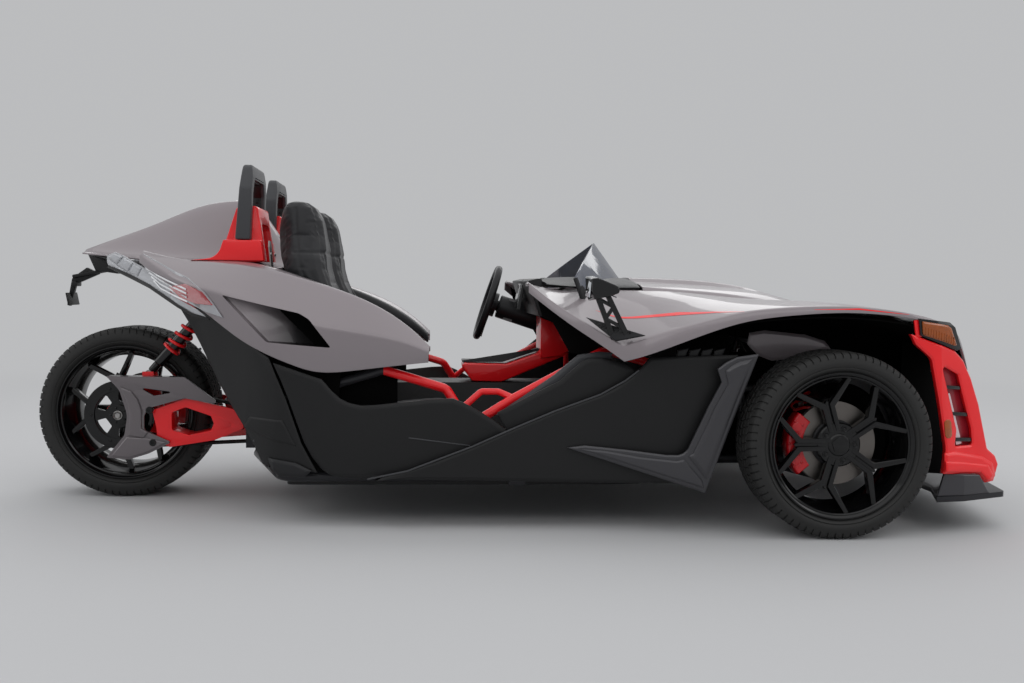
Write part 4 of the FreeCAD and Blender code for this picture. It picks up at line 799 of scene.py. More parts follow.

# %% [markdown]
# ## Brakes
# Behind the spokes sits a ventilated disc: two friction faces with a slot of air between them, on a dark hat.
# The faces are turned steel.


# %% Brake discs
def make_disc(node, centre, sign, hat_to, bore, outer=149):
    bm = bmesh.new()
    ring = [(84, 19), (100, 19), (outer - 1, 19), (outer, 18), (outer, 12), (outer - 9, 11.2),
            (outer - 9, 2.8), (outer, 2), (outer, -4), (outer - 1, -5), (78, -5), (78, 3), (84, 12)]
    turned(bm, [(r * MM, y * MM * sign) for r, y in ring], steps=96)
    vane_from = 0.003 if sign > 0 else -0.011
    vane = [(104, -3), (outer - 10.5, -3), (outer - 10.5, 0), (104, 0)]
    for turn in range(36):
        made = outline_plate(bm, mm(vane), 0.008)
        put(bm, made, Matrix.Rotation(turn * math.pi / 18, 4, "Z") @ Matrix.Translation((0, 0, vane_from)))
    put(bm, bm.verts[:], aim(centre, (0, 1, 0)))
    disc = add_piece(node + "_faces", bm, "disc_face", BODY_OF[node])
    hat = bmesh.new()
    wall = [(bore, hat_to - 8), (bore, hat_to), (80, hat_to), (84, hat_to - 3), (84.5, 19.4), (80, 18),
            (77, 12), (77, hat_to - 8)]
    turned(hat, [(r * MM, y * MM * sign) for r, y in wall], steps=64)
    put(hat, hat.verts[:], aim(centre, (0, 1, 0)))
    top = add_piece(node + "_hat", hat, "cast_metal", BODY_OF[node])
    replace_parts(disc, node)
    return disc, top


for side, sign in SIDES:
    make_disc("front_disc_" + side, FRONT_AXLE[side], sign, 36, 25)
print("wheels", len(FRONT_AXLE) + 1)

# %% [markdown]
# ## Rear drive
# The belt has teeth on its inner side, one every 14 mm, which mesh with both pulleys. A tooth is a small
# block with tapered flanks. The belt's path is two arcs and two straight runs, so a function that walks along
# it gives each tooth its place and its direction.


# %% Toothed belt
FRONT_PULLEY = (Vector((-0.935, -0.214, 0.300)), 0.052)
REAR_PULLEY = (Vector((-1.555, -0.214, 0.345)), 0.127)
BELT_WIDTH = 0.032


def on_wheel(angle, radius=1.0, across=0.0):
    """A place round an axle that runs across the car."""
    return Vector((radius * math.cos(angle), across, radius * math.sin(angle)))


def belt_spots(pitch):
    """Places along the inner side of the belt, each with the direction that points out of the loop."""
    (front, front_r), (rear, rear_r) = FRONT_PULLEY, REAR_PULLEY
    run = rear - front
    lean = math.asin((rear_r - front_r) / run.length)
    along = math.atan2(run.z, run.x)
    straight = math.sqrt(run.length ** 2 - (rear_r - front_r) ** 2)
    upper, lower = along - math.pi / 2 - lean, along + math.pi / 2 + lean
    spots = []
    for turn, centre, radius, sweep in ((lower, rear, rear_r, -(math.pi + 2 * lean)),
                                        (upper, front, front_r, -(math.pi - 2 * lean))):
        count = int(abs(sweep) * radius / pitch)
        for i in range(count):
            out = on_wheel(turn + sweep * (i + 0.5) / count)
            spots.append((centre + out * radius, out))
    for angle in (upper, lower):
        out = on_wheel(angle)
        start, end = front + out * front_r, rear + out * rear_r
        count = int(straight / pitch)
        spots += [(start.lerp(end, (i + 0.5) / count), out) for i in range(count)]
    return spots


bm = merged("drive_belt")
teeth = belt_spots(0.014)
for place, out in teeth:
    tooth = bmesh.ops.create_cube(bm, size=1)["verts"]
    for vert in tooth:
        taper = 0.0038 if vert.co.z > 0 else 0.0026
        vert.co = Vector((math.copysign(taper, vert.co.x), math.copysign(BELT_WIDTH / 2 - 0.0005, vert.co.y),
                          0.0012 if vert.co.z > 0 else -0.0042))
    put(bm, tooth, aim(place, out, (0, 1, 0)) @ Matrix.Rotation(math.pi / 2, 4, "Z"))
belt = add_piece("toothed_belt", bm, "rubber")
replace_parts(belt, "drive_belt")
print("belt", len(teeth), "teeth")

# %% [markdown]
# The driven pulley is a drilled wheel with teeth between two flanges. Its axle ends in a plated nut.

# %% Pulley, axle nut and gear case
softened("rear_pulley", 0.0012, material="wheel_black")
bm = bmesh.new()
PULLEY_TEETH = 56
for i in range(PULLEY_TEETH):
    angle = i * 2 * math.pi / PULLEY_TEETH
    box(bm, (0.003, 0.036, 0.0036), Matrix.Translation(REAR_PULLEY[0]) @ Matrix.Rotation(-angle, 4, "Y")
        @ Matrix.Translation((0.1262, 0, 0)))
for i in range(5):
    angle = (i + 0.5) * 2 * math.pi / 5
    bolt(bm, REAR_PULLEY[0] + on_wheel(angle, 0.108, -0.0195), (0, -1, 0), 0.006)
    bolt(bm, REAR_PULLEY[0] + on_wheel(angle, 0.03, -0.0235), (0, -1, 0), 0.005)
add_piece("pulley_teeth", bm, "wheel_black", "wheel_rear")
bm = bmesh.new()
washer = turned(bm, [(0.0095, 0), (0.0185, 0), (0.0185, 0.0025), (0.0095, 0.0025)], steps=40)
put(bm, washer, aim((-1.555, -0.248, 0.345), (0, -1, 0)))
nut, top = prism(bm, 6, 0.0165, 0.014)
cup = [f for f in bm.faces if all(v in top for v in f.verts)]
bmesh.ops.inset_region(bm, faces=cup, thickness=0.005, depth=-0.009, use_even_offset=True)
bmesh.ops.recalc_face_normals(bm, faces=bm.faces)
put(bm, linked(nut), aim((-1.555, -0.2485, 0.345), (0, -1, 0)))
bevel_corners(bm, 0.0008)
add_piece("axle_nut", bm, "steel", "wheel_rear")
case = softened("angle_drive", 0.003)
print("pulley teeth", PULLEY_TEETH, "gear case faces", len(case.data.polygons))

# %% [markdown]
# The swingarm's side plate has a window with a deep rolled edge, and the painted guard over the belt is a
# folded sheet: a flat field inside a chamfered border. Both are cut to the frame's own outline and finished
# with an inset.


# %% Swingarm and its guard
def side_plate(bm, points, y, thickness, border=0.0, rise=0.0, bevel=0.001, sign=-1):
    """A plate along the car, cut to (x, z) points in mm, with its outer face at y and a raised field."""
    verts = outline_plate(bm, [(x * MM, z * MM * -sign) for x, z in points], thickness)
    top = [f for v in verts for f in v.link_faces if f.normal.z > 0.9
           and f.calc_center_median().z > thickness * 0.9]
    if border:
        bmesh.ops.inset_region(bm, faces=list(set(top)), thickness=border, depth=rise, use_even_offset=True)
    whole = linked(verts)
    made = rounded(bm, corners_of(edges_of(whole), 12), bevel)
    whole = linked(whole + made["verts"])
    base = y - sign * thickness
    put(bm, whole, Matrix.Translation((0, base, 0)) @ Matrix.Rotation(math.pi / 2 * -sign, 4, "X"))
    return whole


softened("swingarm", 0.004, segments=3)
softened("swingarm_cover", 0.0015, material="guard_paint")
bm = bmesh.new()
side_plate(bm, [(-1188, 283), (-1174, 318), (-1188, 354), (-1112, 328), (-1100, 314), (-1112, 299)], -0.2865,
           0.026, bevel=0.003)
add_piece("window_end", bm, "red_paint")
bm = bmesh.new()
ROOT_FIELD = [(-1530, 462), (-1486, 446), (-1462, 412), (-1448, 372), (-1448, 300), (-1424, 286),
              (-1440, 262), (-1500, 272), (-1494, 351), (-1506, 410)]
LOWER_FIELD = [(-1566, 192), (-1498, 184), (-1424, 207), (-1352, 245), (-1428, 262), (-1506, 266)]
for field in (ROOT_FIELD, LOWER_FIELD):
    side_plate(bm, field, -0.3055, 0.006, border=0.004, rise=0.003)
add_piece("guard_facets", bm, "guard_paint")
bm = bmesh.new()
for x, z in ((-1418, 372), (-1405, 244)):
    collar = turned(bm, [(0.004, 0.004), (0.006, 0.0065), (0.0125, 0.0065), (0.014, 0.004), (0.014, -0.004),
                         (0.004, -0.004)], steps=28)
    put(bm, collar, aim((x * MM, -0.3045, z * MM), (0, -1, 0)))
    bolt(bm, (x * MM, -0.3075, z * MM), (0, -1, 0), 0.0055, 0.003)
bolts = add_piece("guard_bolts", bm, "black_plastic")
print("guard bolt faces", len(bolts.data.polygons))

# %% [markdown]
# ## Springs and dampers
# A coil spring is a circle that is spun about the damper's axis while it climbs along it, which is what the
# spin operator's step vector is for. The damper inside is a turned shape, with an eye across each end.


# %% Coil-over dampers
def coil_over(name, foot, head, eye_along, radius, coils, wire, body_share=0.5, spring_to=0.93,
              spring_from=0.3):
    """A damper between two eyes with a spring round it."""
    foot, head = Vector(foot), Vector(head)
    length = (head - foot).length
    frame_of = aim(foot, head - foot, eye_along)
    bm = bmesh.new()
    body_end = length * body_share
    tube = [(0, 0.012), (radius * 0.36, 0.012), (radius * 0.42, 0.018), (radius * 0.42, 0.05),
            (radius * 0.6, 0.056), (radius * 0.6, body_end), (radius * 0.5, body_end + 0.004),
            (0, body_end + 0.004)]
    put(bm, turned(bm, tube, steps=40, closed=False), frame_of)
    add_piece(name + "_body", bm, "gloss_black")
    bm = bmesh.new()
    shaft = [(0, body_end), (radius * 0.24, body_end), (radius * 0.24, length - 0.014), (0, length - 0.014)]
    put(bm, turned(bm, shaft, steps=28, closed=False), frame_of)
    for spot in (foot, head):
        eye = turned(bm, [(0.0065, -0.014), (0.013, -0.014), (0.0138, -0.012), (0.0138, 0.012),
                          (0.013, 0.014), (0.0065, 0.014)], steps=28)
        put(bm, eye, aim(spot, eye_along, (1, 0, 0) if abs(Vector(eye_along).z) > 0.5 else (0, 0, 1)))
    add_piece(name + "_eyes", bm, "steel")
    bm = bmesh.new()
    circle = bmesh.ops.create_circle(bm, segments=12, radius=wire)["verts"]
    put(bm, circle, Matrix.Translation((radius - wire, 0, length * spring_from))
        @ Matrix.Rotation(math.pi / 2, 4, "X"))
    steps = coils * 36
    climb = length * (spring_to - spring_from)
    bmesh.ops.spin(bm, geom=circle + edges_of(circle), cent=(0, 0, 0), axis=(0, 0, 1),
                   dvec=(0, 0, climb / steps), angle=2 * math.pi * coils, steps=steps, use_merge=False,
                   use_normal_flip=False, use_duplicate=False)
    bmesh.ops.holes_fill(bm, edges=[e for e in bm.edges if e.is_boundary], sides=0)
    half = 0.004
    for at in (spring_from, spring_to):
        seat = turned(bm, [(radius * 0.3, -half), (radius, -half), (radius, half), (radius * 0.62, half * 2),
                           (radius * 0.3, half * 2)], steps=40)
        put(bm, seat, Matrix.Translation((0, 0, length * at + (half if at > 0.5 else -half)))
            @ Matrix.Diagonal((1, 1, 1 if at < 0.5 else -1, 1)))
    bmesh.ops.recalc_face_normals(bm, faces=bm.faces)
    put(bm, bm.verts[:], frame_of)
    return add_piece(name + "_spring", bm, "red_paint")


rear_spring = coil_over("rear_damper", (-1.440, -0.212, 0.510), (-1.235, -0.212, 0.740), (0, 1, 0), 0.037, 4,
                        0.0066, body_share=0.9, spring_from=0.44, spring_to=0.93)
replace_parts(rear_spring, "rear_shock")
for side, sign in SIDES:
    front_spring = coil_over("front_damper_" + side, (1.112, 0.620 * sign, 0.222),
                             (1.112, 0.440 * sign, 0.602), (1, 0, 0), 0.042, 8, 0.0055, body_share=0.5,
                             spring_from=0.25, spring_to=0.86)
    if sign > 0:
        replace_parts(front_spring, "front_shocks")
print("dampers", 3)

# %% [markdown]
# The calipers are cast blocks with a bridge over the disc and bolts through it. Each is a softened copy of
# its frame piece with bosses and bolt heads added on the outside.

# %% Calipers
softened("rear_disc", 0.0006, material="disc_face")
softened("rear_caliper", 0.004, segments=3, material="caliper_paint")
for side, sign in SIDES:
    caliper = softened("caliper_" + side, 0.005, segments=3, material="caliper_paint")
    bm = bmesh.new()
    centre = FRONT_AXLE[side]
    for vert in caliper.data.vertices:
        spoke = Vector((vert.co.x - centre.x, 0, vert.co.z - centre.z))
        if spoke.length < 0.132:
            vert.co += spoke.normalized() * (0.132 - spoke.length) * 0.75
    for degrees in (152, 164, 180, 196, 208):
        angle = math.radians(degrees)
        for radius in (0.140, 0.170):
            bolt(bm, centre + on_wheel(angle, radius, sign * 0.0425), (0, sign, 0), 0.0055, 0.004)
    for degrees in (158, 202):
        boss = turned(bm, [(0, 0.0085), (0.012, 0.0085), (0.0175, 0.0065), (0.019, 0.002), (0.019, -0.004),
                           (0, -0.004)], steps=32, closed=False)
        put(bm, boss, aim(centre + on_wheel(math.radians(degrees), 0.155, sign * 0.038), (0, sign, 0)))
    add_piece("caliper_bolts_" + side, bm, "caliper_paint", BODY_OF["caliper_" + side])
for node in ("knuckle_left", "knuckle_right", "wishbones", "tie_rods", "steering_rack"):
    softened(node, 0.0015, material="black_plastic" if node == "wishbones" else None)
print("brakes and suspension done")

# %% [markdown]
# ## Seats
# A bucket seat is foam under a vinyl cover, so its faces are crowned and its seams pull in. Each part starts
# as a coarse closed form, lofted through rings. Cloth under a little pressure then swells it like foam, with
# a cap on how far any point may go, and the seams are drawn in afterwards, because the remesh before the
# cloth would erase them.


# %% A closed form through rings of points, and the cloth that swells it
def loop_edges(loop):
    return [e for e in edges_of(loop) if e.verts[0] in loop and e.verts[1] in loop]


def ring_form(rings):
    """A closed solid through rings that have the same number of points."""
    bm = bmesh.new()
    loops = []
    for ring in rings:
        verts = bmesh.ops.create_circle(bm, segments=len(ring), radius=1)["verts"]
        for vert, spot in zip(verts, ring):
            vert.co = spot
        loops.append(verts)
    for lower, upper in zip(loops, loops[1:]):
        bmesh.ops.bridge_loops(bm, edges=loop_edges(lower) + loop_edges(upper))
    for end in (loops[0], loops[-1]):
        bmesh.ops.contextual_create(bm, geom=loop_edges(end))
    bmesh.ops.recalc_face_normals(bm, faces=bm.faces)
    return bm


def swell(piece, voxel=0.006, cap=0.014, pressure=4.0, frames=20):
    """Remeshes a closed piece, swells it as cloth, and keeps every point within the cap."""
    cut = piece.modifiers.new("foam", "REMESH")
    cut.mode = "VOXEL"
    cut.voxel_size = voxel
    take_modifiers(piece)
    start = [v.co.copy() for v in piece.data.vertices]
    cloth = piece.modifiers.new("cover", "CLOTH")
    cloth.settings.quality = 4
    cloth.settings.use_pressure = True
    cloth.settings.uniform_pressure_force = pressure
    cloth.settings.effector_weights.gravity = 0
    cloth.point_cache.frame_start = 1
    cloth.point_cache.frame_end = frames
    for frame_number in range(1, frames + 1):
        bpy.context.scene.frame_set(frame_number)
    take_modifiers(piece)
    bpy.context.scene.frame_set(1)
    for vert, origin in zip(piece.data.vertices, start):
        move = vert.co - origin
        if move.length > cap:
            vert.co = origin + move.normalized() * cap


def take_modifiers(piece):
    """Makes the shape that a piece's modifiers give its own mesh."""
    graph = bpy.context.evaluated_depsgraph_get()
    mesh = bpy.data.meshes.new_from_object(piece.evaluated_get(graph), depsgraph=graph)
    old = piece.data
    piece.modifiers.clear()
    piece.data = mesh
    bpy.data.meshes.remove(old)
    mesh.name = piece.name


def sew(piece, seams, width=0.006, depth=0.005):
    """Draws a piece in along its seams. A seam gives a point's distance from it, or None off it."""
    bm = bmesh.new()
    bm.from_mesh(piece.data)
    bm.normal_update()
    for vert in bm.verts:
        pull = 0.0
        for seam in seams:
            away = seam(vert.co)
            if away is not None and abs(away) < 3 * width:
                pull = max(pull, math.exp(-((away / width) ** 2)))
        vert.co -= vert.normal * depth * pull
    bmesh.ops.smooth_vert(bm, verts=bm.verts, factor=0.25, use_axis_x=True, use_axis_y=True, use_axis_z=True)
    bm.to_mesh(piece.data)
    bm.free()


def soft_piece(name, rings, seams, cap):
    """One swollen and sewn part of the right seat, and its copy in the left seat."""
    piece = add_piece(name + "_right", ring_form(rings), "seat_cover", sharp=180)
    swell(piece, cap=cap)
    sew(piece, seams)
    bm = bmesh.new()
    bm.from_mesh(piece.data)
    bmesh.ops.translate(bm, verts=bm.verts, vec=(0, 2 * SEAT_Y, 0))
    twin = add_piece(name + "_left", bm, "seat_cover", sharp=180)
    for each in (piece, twin):
        each.data.shade_smooth()
        finer = each.modifiers.new("finer", "SUBSURF")
        finer.levels = finer.render_levels = 1
    return piece, twin


# %% [markdown]
# The back is a stack of level rings. Each knows where its bolster's front edge, its middle and its shell are,
# and how wide it is. The cushion is built the same way, from upright rings along the car.

# %% The seat's back and cushion
SEAT_Y = 0.335
# height: bolster's front, middle's front, rear, half width
BACK = {
    395: (-590, -610, -770, 188), 480: (-592, -618, -788, 196), 600: (-609, -640, -800, 200),
    700: (-628, -664, -812, 203), 800: (-662, -690, -826, 205), 870: (-702, -714, -842, 204),
    930: (-726, -730, -864, 198), 975: (-734, -734, -878, 182), 1010: (-738, -736, -884, 156),
    1060: (-746, -744, -889, 128), 1120: (-760, -754, -890, 112), 1168: (-776, -770, -884, 98),
    1190: (-800, -796, -870, 80),
}


def there_and_back(spots):
    """A closed ring from its half, whose second value is mirrored."""
    return spots + [(at, -share) for at, share in reversed(spots[1:])]


def back_ring(z, front, middle, rear, half):
    spots = [(middle, 0), (middle, 0.34), (middle + 4, 0.6), (front - 6, 0.76), (front, 0.88),
             (front - 24, 0.99), (rear + 46, 0.99), (rear + 12, 0.9), (rear, 0.6), (rear - 3, 0.25)]
    return [(x * MM, -SEAT_Y + share * half * MM, z * MM) for x, share in there_and_back(spots)]


def level_between(table, z, column):
    """A value of a table at a height between its rows."""
    heights = sorted(table)
    z = min(max(z, heights[0]), heights[-1])
    upper = next(h for h in heights if h >= z)
    lower = max((h for h in heights if h <= z))
    share = 0 if upper == lower else (z - lower) / (upper - lower)
    return table[lower][column] * (1 - share) + table[upper][column] * share


def back_side_seam(co):
    z = co.z / MM
    half = level_between(BACK, z, 3)
    if abs(co.y + SEAT_Y) / MM < half * 0.8 or z > 1165:
        return None
    return co.x - (level_between(BACK, z, 0) * 0.42 + level_between(BACK, z, 2) * 0.58) * MM


def back_channel_seam(co):
    z = co.z / MM
    if z > 985 or co.x / MM < level_between(BACK, z, 1) - 40:
        return None
    return abs(co.y + SEAT_Y) - 0.63 * level_between(BACK, z, 3) * MM


def back_cross_seam(co):
    z = co.z / MM
    half = level_between(BACK, z, 3)
    if co.x / MM < level_between(BACK, z, 1) - 40 or abs(co.y + SEAT_Y) / MM > 0.62 * half:
        return None
    return min(((z - level) * MM for level in (640, 760, 880)), key=abs)


def head_seam(co):
    return (co.z / MM - 992) * MM if co.x / MM > level_between(BACK, co.z / MM, 2) + 40 else None


soft_piece("seat_back", [back_ring(z, *row) for z, row in BACK.items()],
           [back_side_seam, back_channel_seam, back_cross_seam, head_seam], cap=0.012)

# along the car: bolster's top, middle's top, underside, half width
CUSHION = {
    -140: (352, 350, 212, 176), -160: (384, 376, 190, 192), -205: (410, 386, 176, 198),
    -300: (412, 376, 172, 200), -400: (404, 362, 170, 200), -500: (396, 350, 170, 198),
    -575: (388, 346, 172, 192),
}


def cushion_ring(x, bolster, middle, under, half):
    spots = [(middle, 0), (middle, 0.36), (middle + 4, 0.6), (bolster - 6, 0.76), (bolster, 0.88),
             (bolster - 26, 0.99), (under + 40, 0.99), (under, 0.88), (under, 0.5), (under, 0.2)]
    return [(x * MM, -SEAT_Y + share * half * MM, z * MM) for z, share in there_and_back(spots)]


def cushion_channel_seam(co):
    return abs(co.y + SEAT_Y) - 0.122 if co.z > 0.33 else None


def cushion_cross_seam(co):
    if co.z < 0.33 or abs(co.y + SEAT_Y) > 0.12:
        return None
    return min((co.x - at for at in (-0.25, -0.36, -0.47)), key=abs)


def cushion_welt(co):
    return co.z - 0.315 if abs(co.y + SEAT_Y) > 0.15 or co.x > -0.17 else None


soft_piece("seat_cushion", [cushion_ring(x, *row) for x, row in CUSHION.items()],
           [cushion_channel_seam, cushion_cross_seam, cushion_welt], cap=0.012)
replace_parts(bpy.data.objects["seat_back_right"], "seats")
print("seats", len(BACK), "and", len(CUSHION), "rings")

# %% [markdown]
# Each seat runs on two steel slides under its cushion. A round bar in front of them is the lever that
# releases it.

# %% Seat slides
for side, sign in SIDES:
    bm = bmesh.new()
    middle = SEAT_Y * sign
    for y in (-0.15, 0.15):
        box(bm, (0.46, 0.034, 0.024), Matrix.Translation((-0.42, middle + y, 0.153)))
    bevel_corners(bm, 0.003)
    add_piece("seat_slides_" + side, bm, "steel")
    bm = bmesh.new()
    rod(bm, (-0.13, middle - 0.12, 0.185), (-0.13, middle + 0.12, 0.185), 0.007)
    add_piece("seat_lever_" + side, bm, "black_plastic")
print("seat slides at y", [SEAT_Y * sign for _, sign in SIDES])

# %% [markdown]
# ## Windshield and mirrors
# The panes are the frame's own, with a rubber strip along the foot and up each end. A flat bar between two
# points makes the strips. Each mirror is a wedge-shaped head on a latticed arm, and the arm stands on a plate
# that lies on the fender.


# %% Flat bars and glass
def flat_bar(bm, start, end, width, thickness, facing=(0, 0, 1), bevel=0.0012):
    """A bar of rectangular section between two points, with its broad side facing a direction."""
    start, end = Vector(start), Vector(end)
    run = end - start
    half_width, half_thick = width / 2, thickness / 2
    bar = outline_plate(bm, [(-half_thick, -half_width), (half_thick, -half_width), (half_thick, half_width),
                             (-half_thick, half_width)], run.length)
    made = rounded(bm, edges_of(bar), bevel)
    whole = linked(bar + made["verts"])
    across = Vector(facing).cross(run).normalized()
    square = run.cross(across).normalized()
    turn = Matrix((square, across, run.normalized())).transposed().to_4x4()
    return put(bm, whole, Matrix.Translation(start) @ turn)


softened("windshield", 0.0008)
PANE_FOOT = [(478, 0, 907), (358, 300, 896), (298, 450, 871), (248, 575, 826)]
bm = bmesh.new()
for side, sign in SIDES:
    foot = [spot(x, y * sign, z) for x, y, z in PANE_FOOT]
    for start, end in zip(foot, foot[1:]):
        flat_bar(bm, start, end, 0.018, 0.008, (0.3, 0, 1))
    flat_bar(bm, spot(248, 576 * sign, 826), spot(219, 576 * sign, 907), 0.016, 0.009, (0.4, sign, 0.3))
    flat_bar(bm, spot(262, 560 * sign, 842), spot(238, 577 * sign, 868), 0.030, 0.006, (0.4, sign, 0.3))
add_piece("pane_strips", bm, "trim_black")
print("windshield", len(PANE_FOOT) * 2 - 1, "corners along its foot")

# %% Mirrors
HEAD_DEPTH, HEAD_TAPER = 0.130, 0.84
MIRROR_HEAD = [(219, 911), (246, 913), (326, 880), (333, 868), (332, 852), (306, 842), (232, 824), (222, 850)]
RUNGS = 4
FOOT_PLATE = ((236, 784, 762), (428, 905, 704), (330, 868, 682))
for side, sign in SIDES:
    bm = bmesh.new()
    head = outline_plate(bm, mm(MIRROR_HEAD), HEAD_DEPTH)
    outer = [v for v in head if v.co.z > HEAD_DEPTH / 2]
    bmesh.ops.scale(bm, verts=outer, vec=(HEAD_TAPER, HEAD_TAPER, 1),
                    space=Matrix.Translation((-0.262, -0.868, 0)))
    rounded(bm, bm.edges, 0.007, 3, profile=0.6)
    rear = [f for f in bm.faces if f.normal.x < -0.8 and f.calc_area() > 0.001]
    bmesh.ops.inset_region(bm, faces=rear, thickness=0.006, depth=-0.006, use_even_offset=True)
    for i in range(3):
        box(bm, (0.062, 0.0035, 0.006),
            Matrix.Translation((0.282, 0.851 + i * 0.014, 0.126)) @ Matrix.Rotation(-0.38, 4, "Z"))
    stand(bm.verts, 0.854, sign)
    bmesh.ops.recalc_face_normals(bm, faces=bm.faces)
    head = add_piece("mirror_head_" + side, bm, "gloss_black", sharp=30)
    bm = bmesh.new()
    pane = outline_plate(bm, [(0.0, -0.050), (0.052, -0.046), (0.060, 0.044), (0.004, 0.050)], 0.003,
                         bevel=0.001)
    put(bm, pane, aim((0.221, sign * 0.918, 0.838), (-1, 0, 0.12)) @ Matrix.Rotation(math.pi / 2, 4, "Z"))
    add_piece("mirror_glass_" + side, bm, "mirror_glass")
    bm = bmesh.new()
    posts = [(spot(322, 852 * sign, 694), spot(262, 884 * sign, 834)),
             (spot(372, 876 * sign, 694), spot(296, 890 * sign, 842))]
    for low, top in posts:
        flat_bar(bm, low, top, 0.018, 0.016, (0, sign, 0))
    for i in range(RUNGS):
        (low, top), (other_low, other_top) = posts if i % 2 == 0 else posts[::-1]
        flat_bar(bm, low.lerp(top, i / RUNGS), other_low.lerp(other_top, (i + 1) / RUNGS), 0.013, 0.012,
                 (0, sign, 0))
    add_piece("mirror_arm_" + side, bm, "gloss_black")
    bm = bmesh.new()
    corners = [spot(x, y * sign, z) for x, y, z in FOOT_PLATE]
    middle = sum(corners, Vector()) / 3
    along = (corners[1] - corners[0]).normalized()
    up = along.cross(corners[2] - corners[0]).normalized()
    up = up if up.z > 0 else -up
    to_plate = aim(middle + up * 0.004, up, up.cross(along))
    flat = [to_plate.inverted() @ c for c in corners]
    outline_plate(bm, [(p.x, p.y) for p in flat], 0.008, bevel=0.002)
    for i in range(7):
        for j in range(3):
            share = (i + 1.2) / 9
            place = flat[0].lerp(flat[1], share).lerp(flat[2], 0.14 + j * 0.13 * (1 - share))
            stud = turned(bm, [(0, 0.0105), (0.0032, 0.0105), (0.0042, 0.0085), (0.0042, 0.006), (0, 0.006)],
                          steps=8, closed=False)
            put(bm, stud, Matrix.Translation((place.x, place.y, 0)))
    put(bm, bm.verts[:], to_plate)
    add_piece("mirror_foot_" + side, bm, "trim_black")
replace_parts(head, "mirrors")
print("mirrors", len(SIDES))

# %% [markdown]
# ## Cabin
# The dashboard, the console and the column's shroud are mouldings with broad soft edges. The wheel's rim is
# wrapped, and its three spokes carry a hub pad. A screen sits in the middle of the dashboard, over a red
# stack that runs down to the console.

# %% Dashboard, wheel and console
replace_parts(slice_of("dashboard", "dash_top", "black_plastic", [((0, 0, 0.755), (0, 0, 1))], 0.005),
            "dashboard")
softened("steering_column", 0.006, segments=3, material="trim_black")
softened("steering_wheel", 0.003, segments=3, material="trim_black")
softened("center_console", 0.008, segments=3)
softened("rear_bulkhead", 0.002)
# across and up; it closes the gap between the bulkhead and the deck with its spine
CLOSING = [(-412, 900), (412, 900), (412, 926), (150, 936), (110, 984), (72, 1046), (48, 1062), (-48, 1062),
           (-72, 1046), (-110, 984), (-150, 936), (-412, 926)]
bm = bmesh.new()
closing = outline_plate(bm, mm(CLOSING), 0.005)
put(bm, closing, Matrix(((0, 0, 1, -0.962), (1, 0, 0, 0), (0, 1, 0, 0), (0, 0, 0, 1))))
add_piece("bulkhead_closing", bm, "liner_black")
print("cabin mouldings", 5)

# %% [markdown]
# The steering wheel leans back by 72 degrees from the level. Its pad and its three grips are plates that are
# cut flat about the origin, and one matrix takes them to the column. The switch block behind them rides on
# the car.

# %% Steering wheel's pad, grips and stalks
WHEEL_LEAN = math.radians(-72)
WHEEL_PLACE = (aim((-0.067, 0.330, 0.795), (math.sin(WHEEL_LEAN), 0, math.cos(WHEEL_LEAN)))
               @ Matrix.Rotation(math.pi / 2, 4, "Z"))
bm = bmesh.new()
pad = outline_plate(bm, [(0.052, 0.030), (0.034, 0.048), (-0.034, 0.048), (-0.052, 0.030), (-0.044, -0.036),
                         (-0.020, -0.054), (0.020, -0.054), (0.044, -0.036)], 0.018, bevel=0.006, segments=3)
put(bm, pad, Matrix.Translation((0, 0, -0.012)))
for turn in (0, 90, 180):
    grip = outline_plate(bm, [(0.05, -0.013), (0.150, -0.010), (0.150, 0.010), (0.05, 0.013)], 0.007,
                         bevel=0.002)
    put(bm, grip, Matrix.Rotation(math.radians(turn), 4, "Z") @ Matrix.Translation((0, 0, -0.012)))
put(bm, bm.verts[:], WHEEL_PLACE)
add_piece("wheel_pad", bm, "black_plastic", "steering_wheel")
bm = bmesh.new()
block = outline_plate(bm, [(-0.05, -0.034), (0.05, -0.034), (0.05, 0.034), (-0.05, 0.034)], 0.042,
                      bevel=0.006)
put(bm, block, WHEEL_PLACE @ Matrix.Translation((0, 0, -0.128)))
add_piece("stalks", bm, "stalk_grey")
print("wheel pad and stalks")

# %% [markdown]
# The screen leans a little towards the seats. The console's tray rises ahead of its middle, and the dark
# footwell walls hide the back of the side panels.

# %% Screen, console tray, stack and footwell
bm = bmesh.new()
screen = outline_plate(bm, [(-0.105, -0.062), (0.105, -0.062), (0.105, 0.062), (-0.105, 0.062)], 0.014,
                       bevel=0.003)
put(bm, screen, aim((0.060, 0, 0.835), (-1, 0, 0.2)))
add_piece("screen", bm, "gloss_black")
bm = bmesh.new()
tray = outline_plate(bm, [(-0.190, -0.062), (-0.020, -0.058), (0.150, -0.050), (0.150, 0.050),
                          (-0.020, 0.058), (-0.190, 0.062)], 0.006, bevel=0.002)
TRAY_HEIGHT, TRAY_BEND, TRAY_RISE = 0.552, -0.02, 0.325
for vert in tray:
    vert.co.z += TRAY_HEIGHT + max(0.0, vert.co.x - TRAY_BEND) * TRAY_RISE
add_piece("console_tray", bm, "trim_black")
bm = bmesh.new()
STACK = [(136, 742), (187, 722), (262, 606), (216, 580), (136, 572)]
stand(outline_plate(bm, mm(STACK), 0.212, bevel=0.005, segments=3), -0.106, -1)
bmesh.ops.recalc_face_normals(bm, faces=bm.faces)
add_piece("center_stack", bm, "red_paint")
FOOTWELL = [(60, 866), (110, 822), (200, 782), (300, 760), (320, 632), (281, 622), (188, 631), (124, 743),
            (86, 761), (72, 808)]
bm = bmesh.new()
for side, sign in SIDES:
    wall = outline_plate(bm, mm(FOOTWELL), 0.006)
    stand(wall, 0.684, sign)
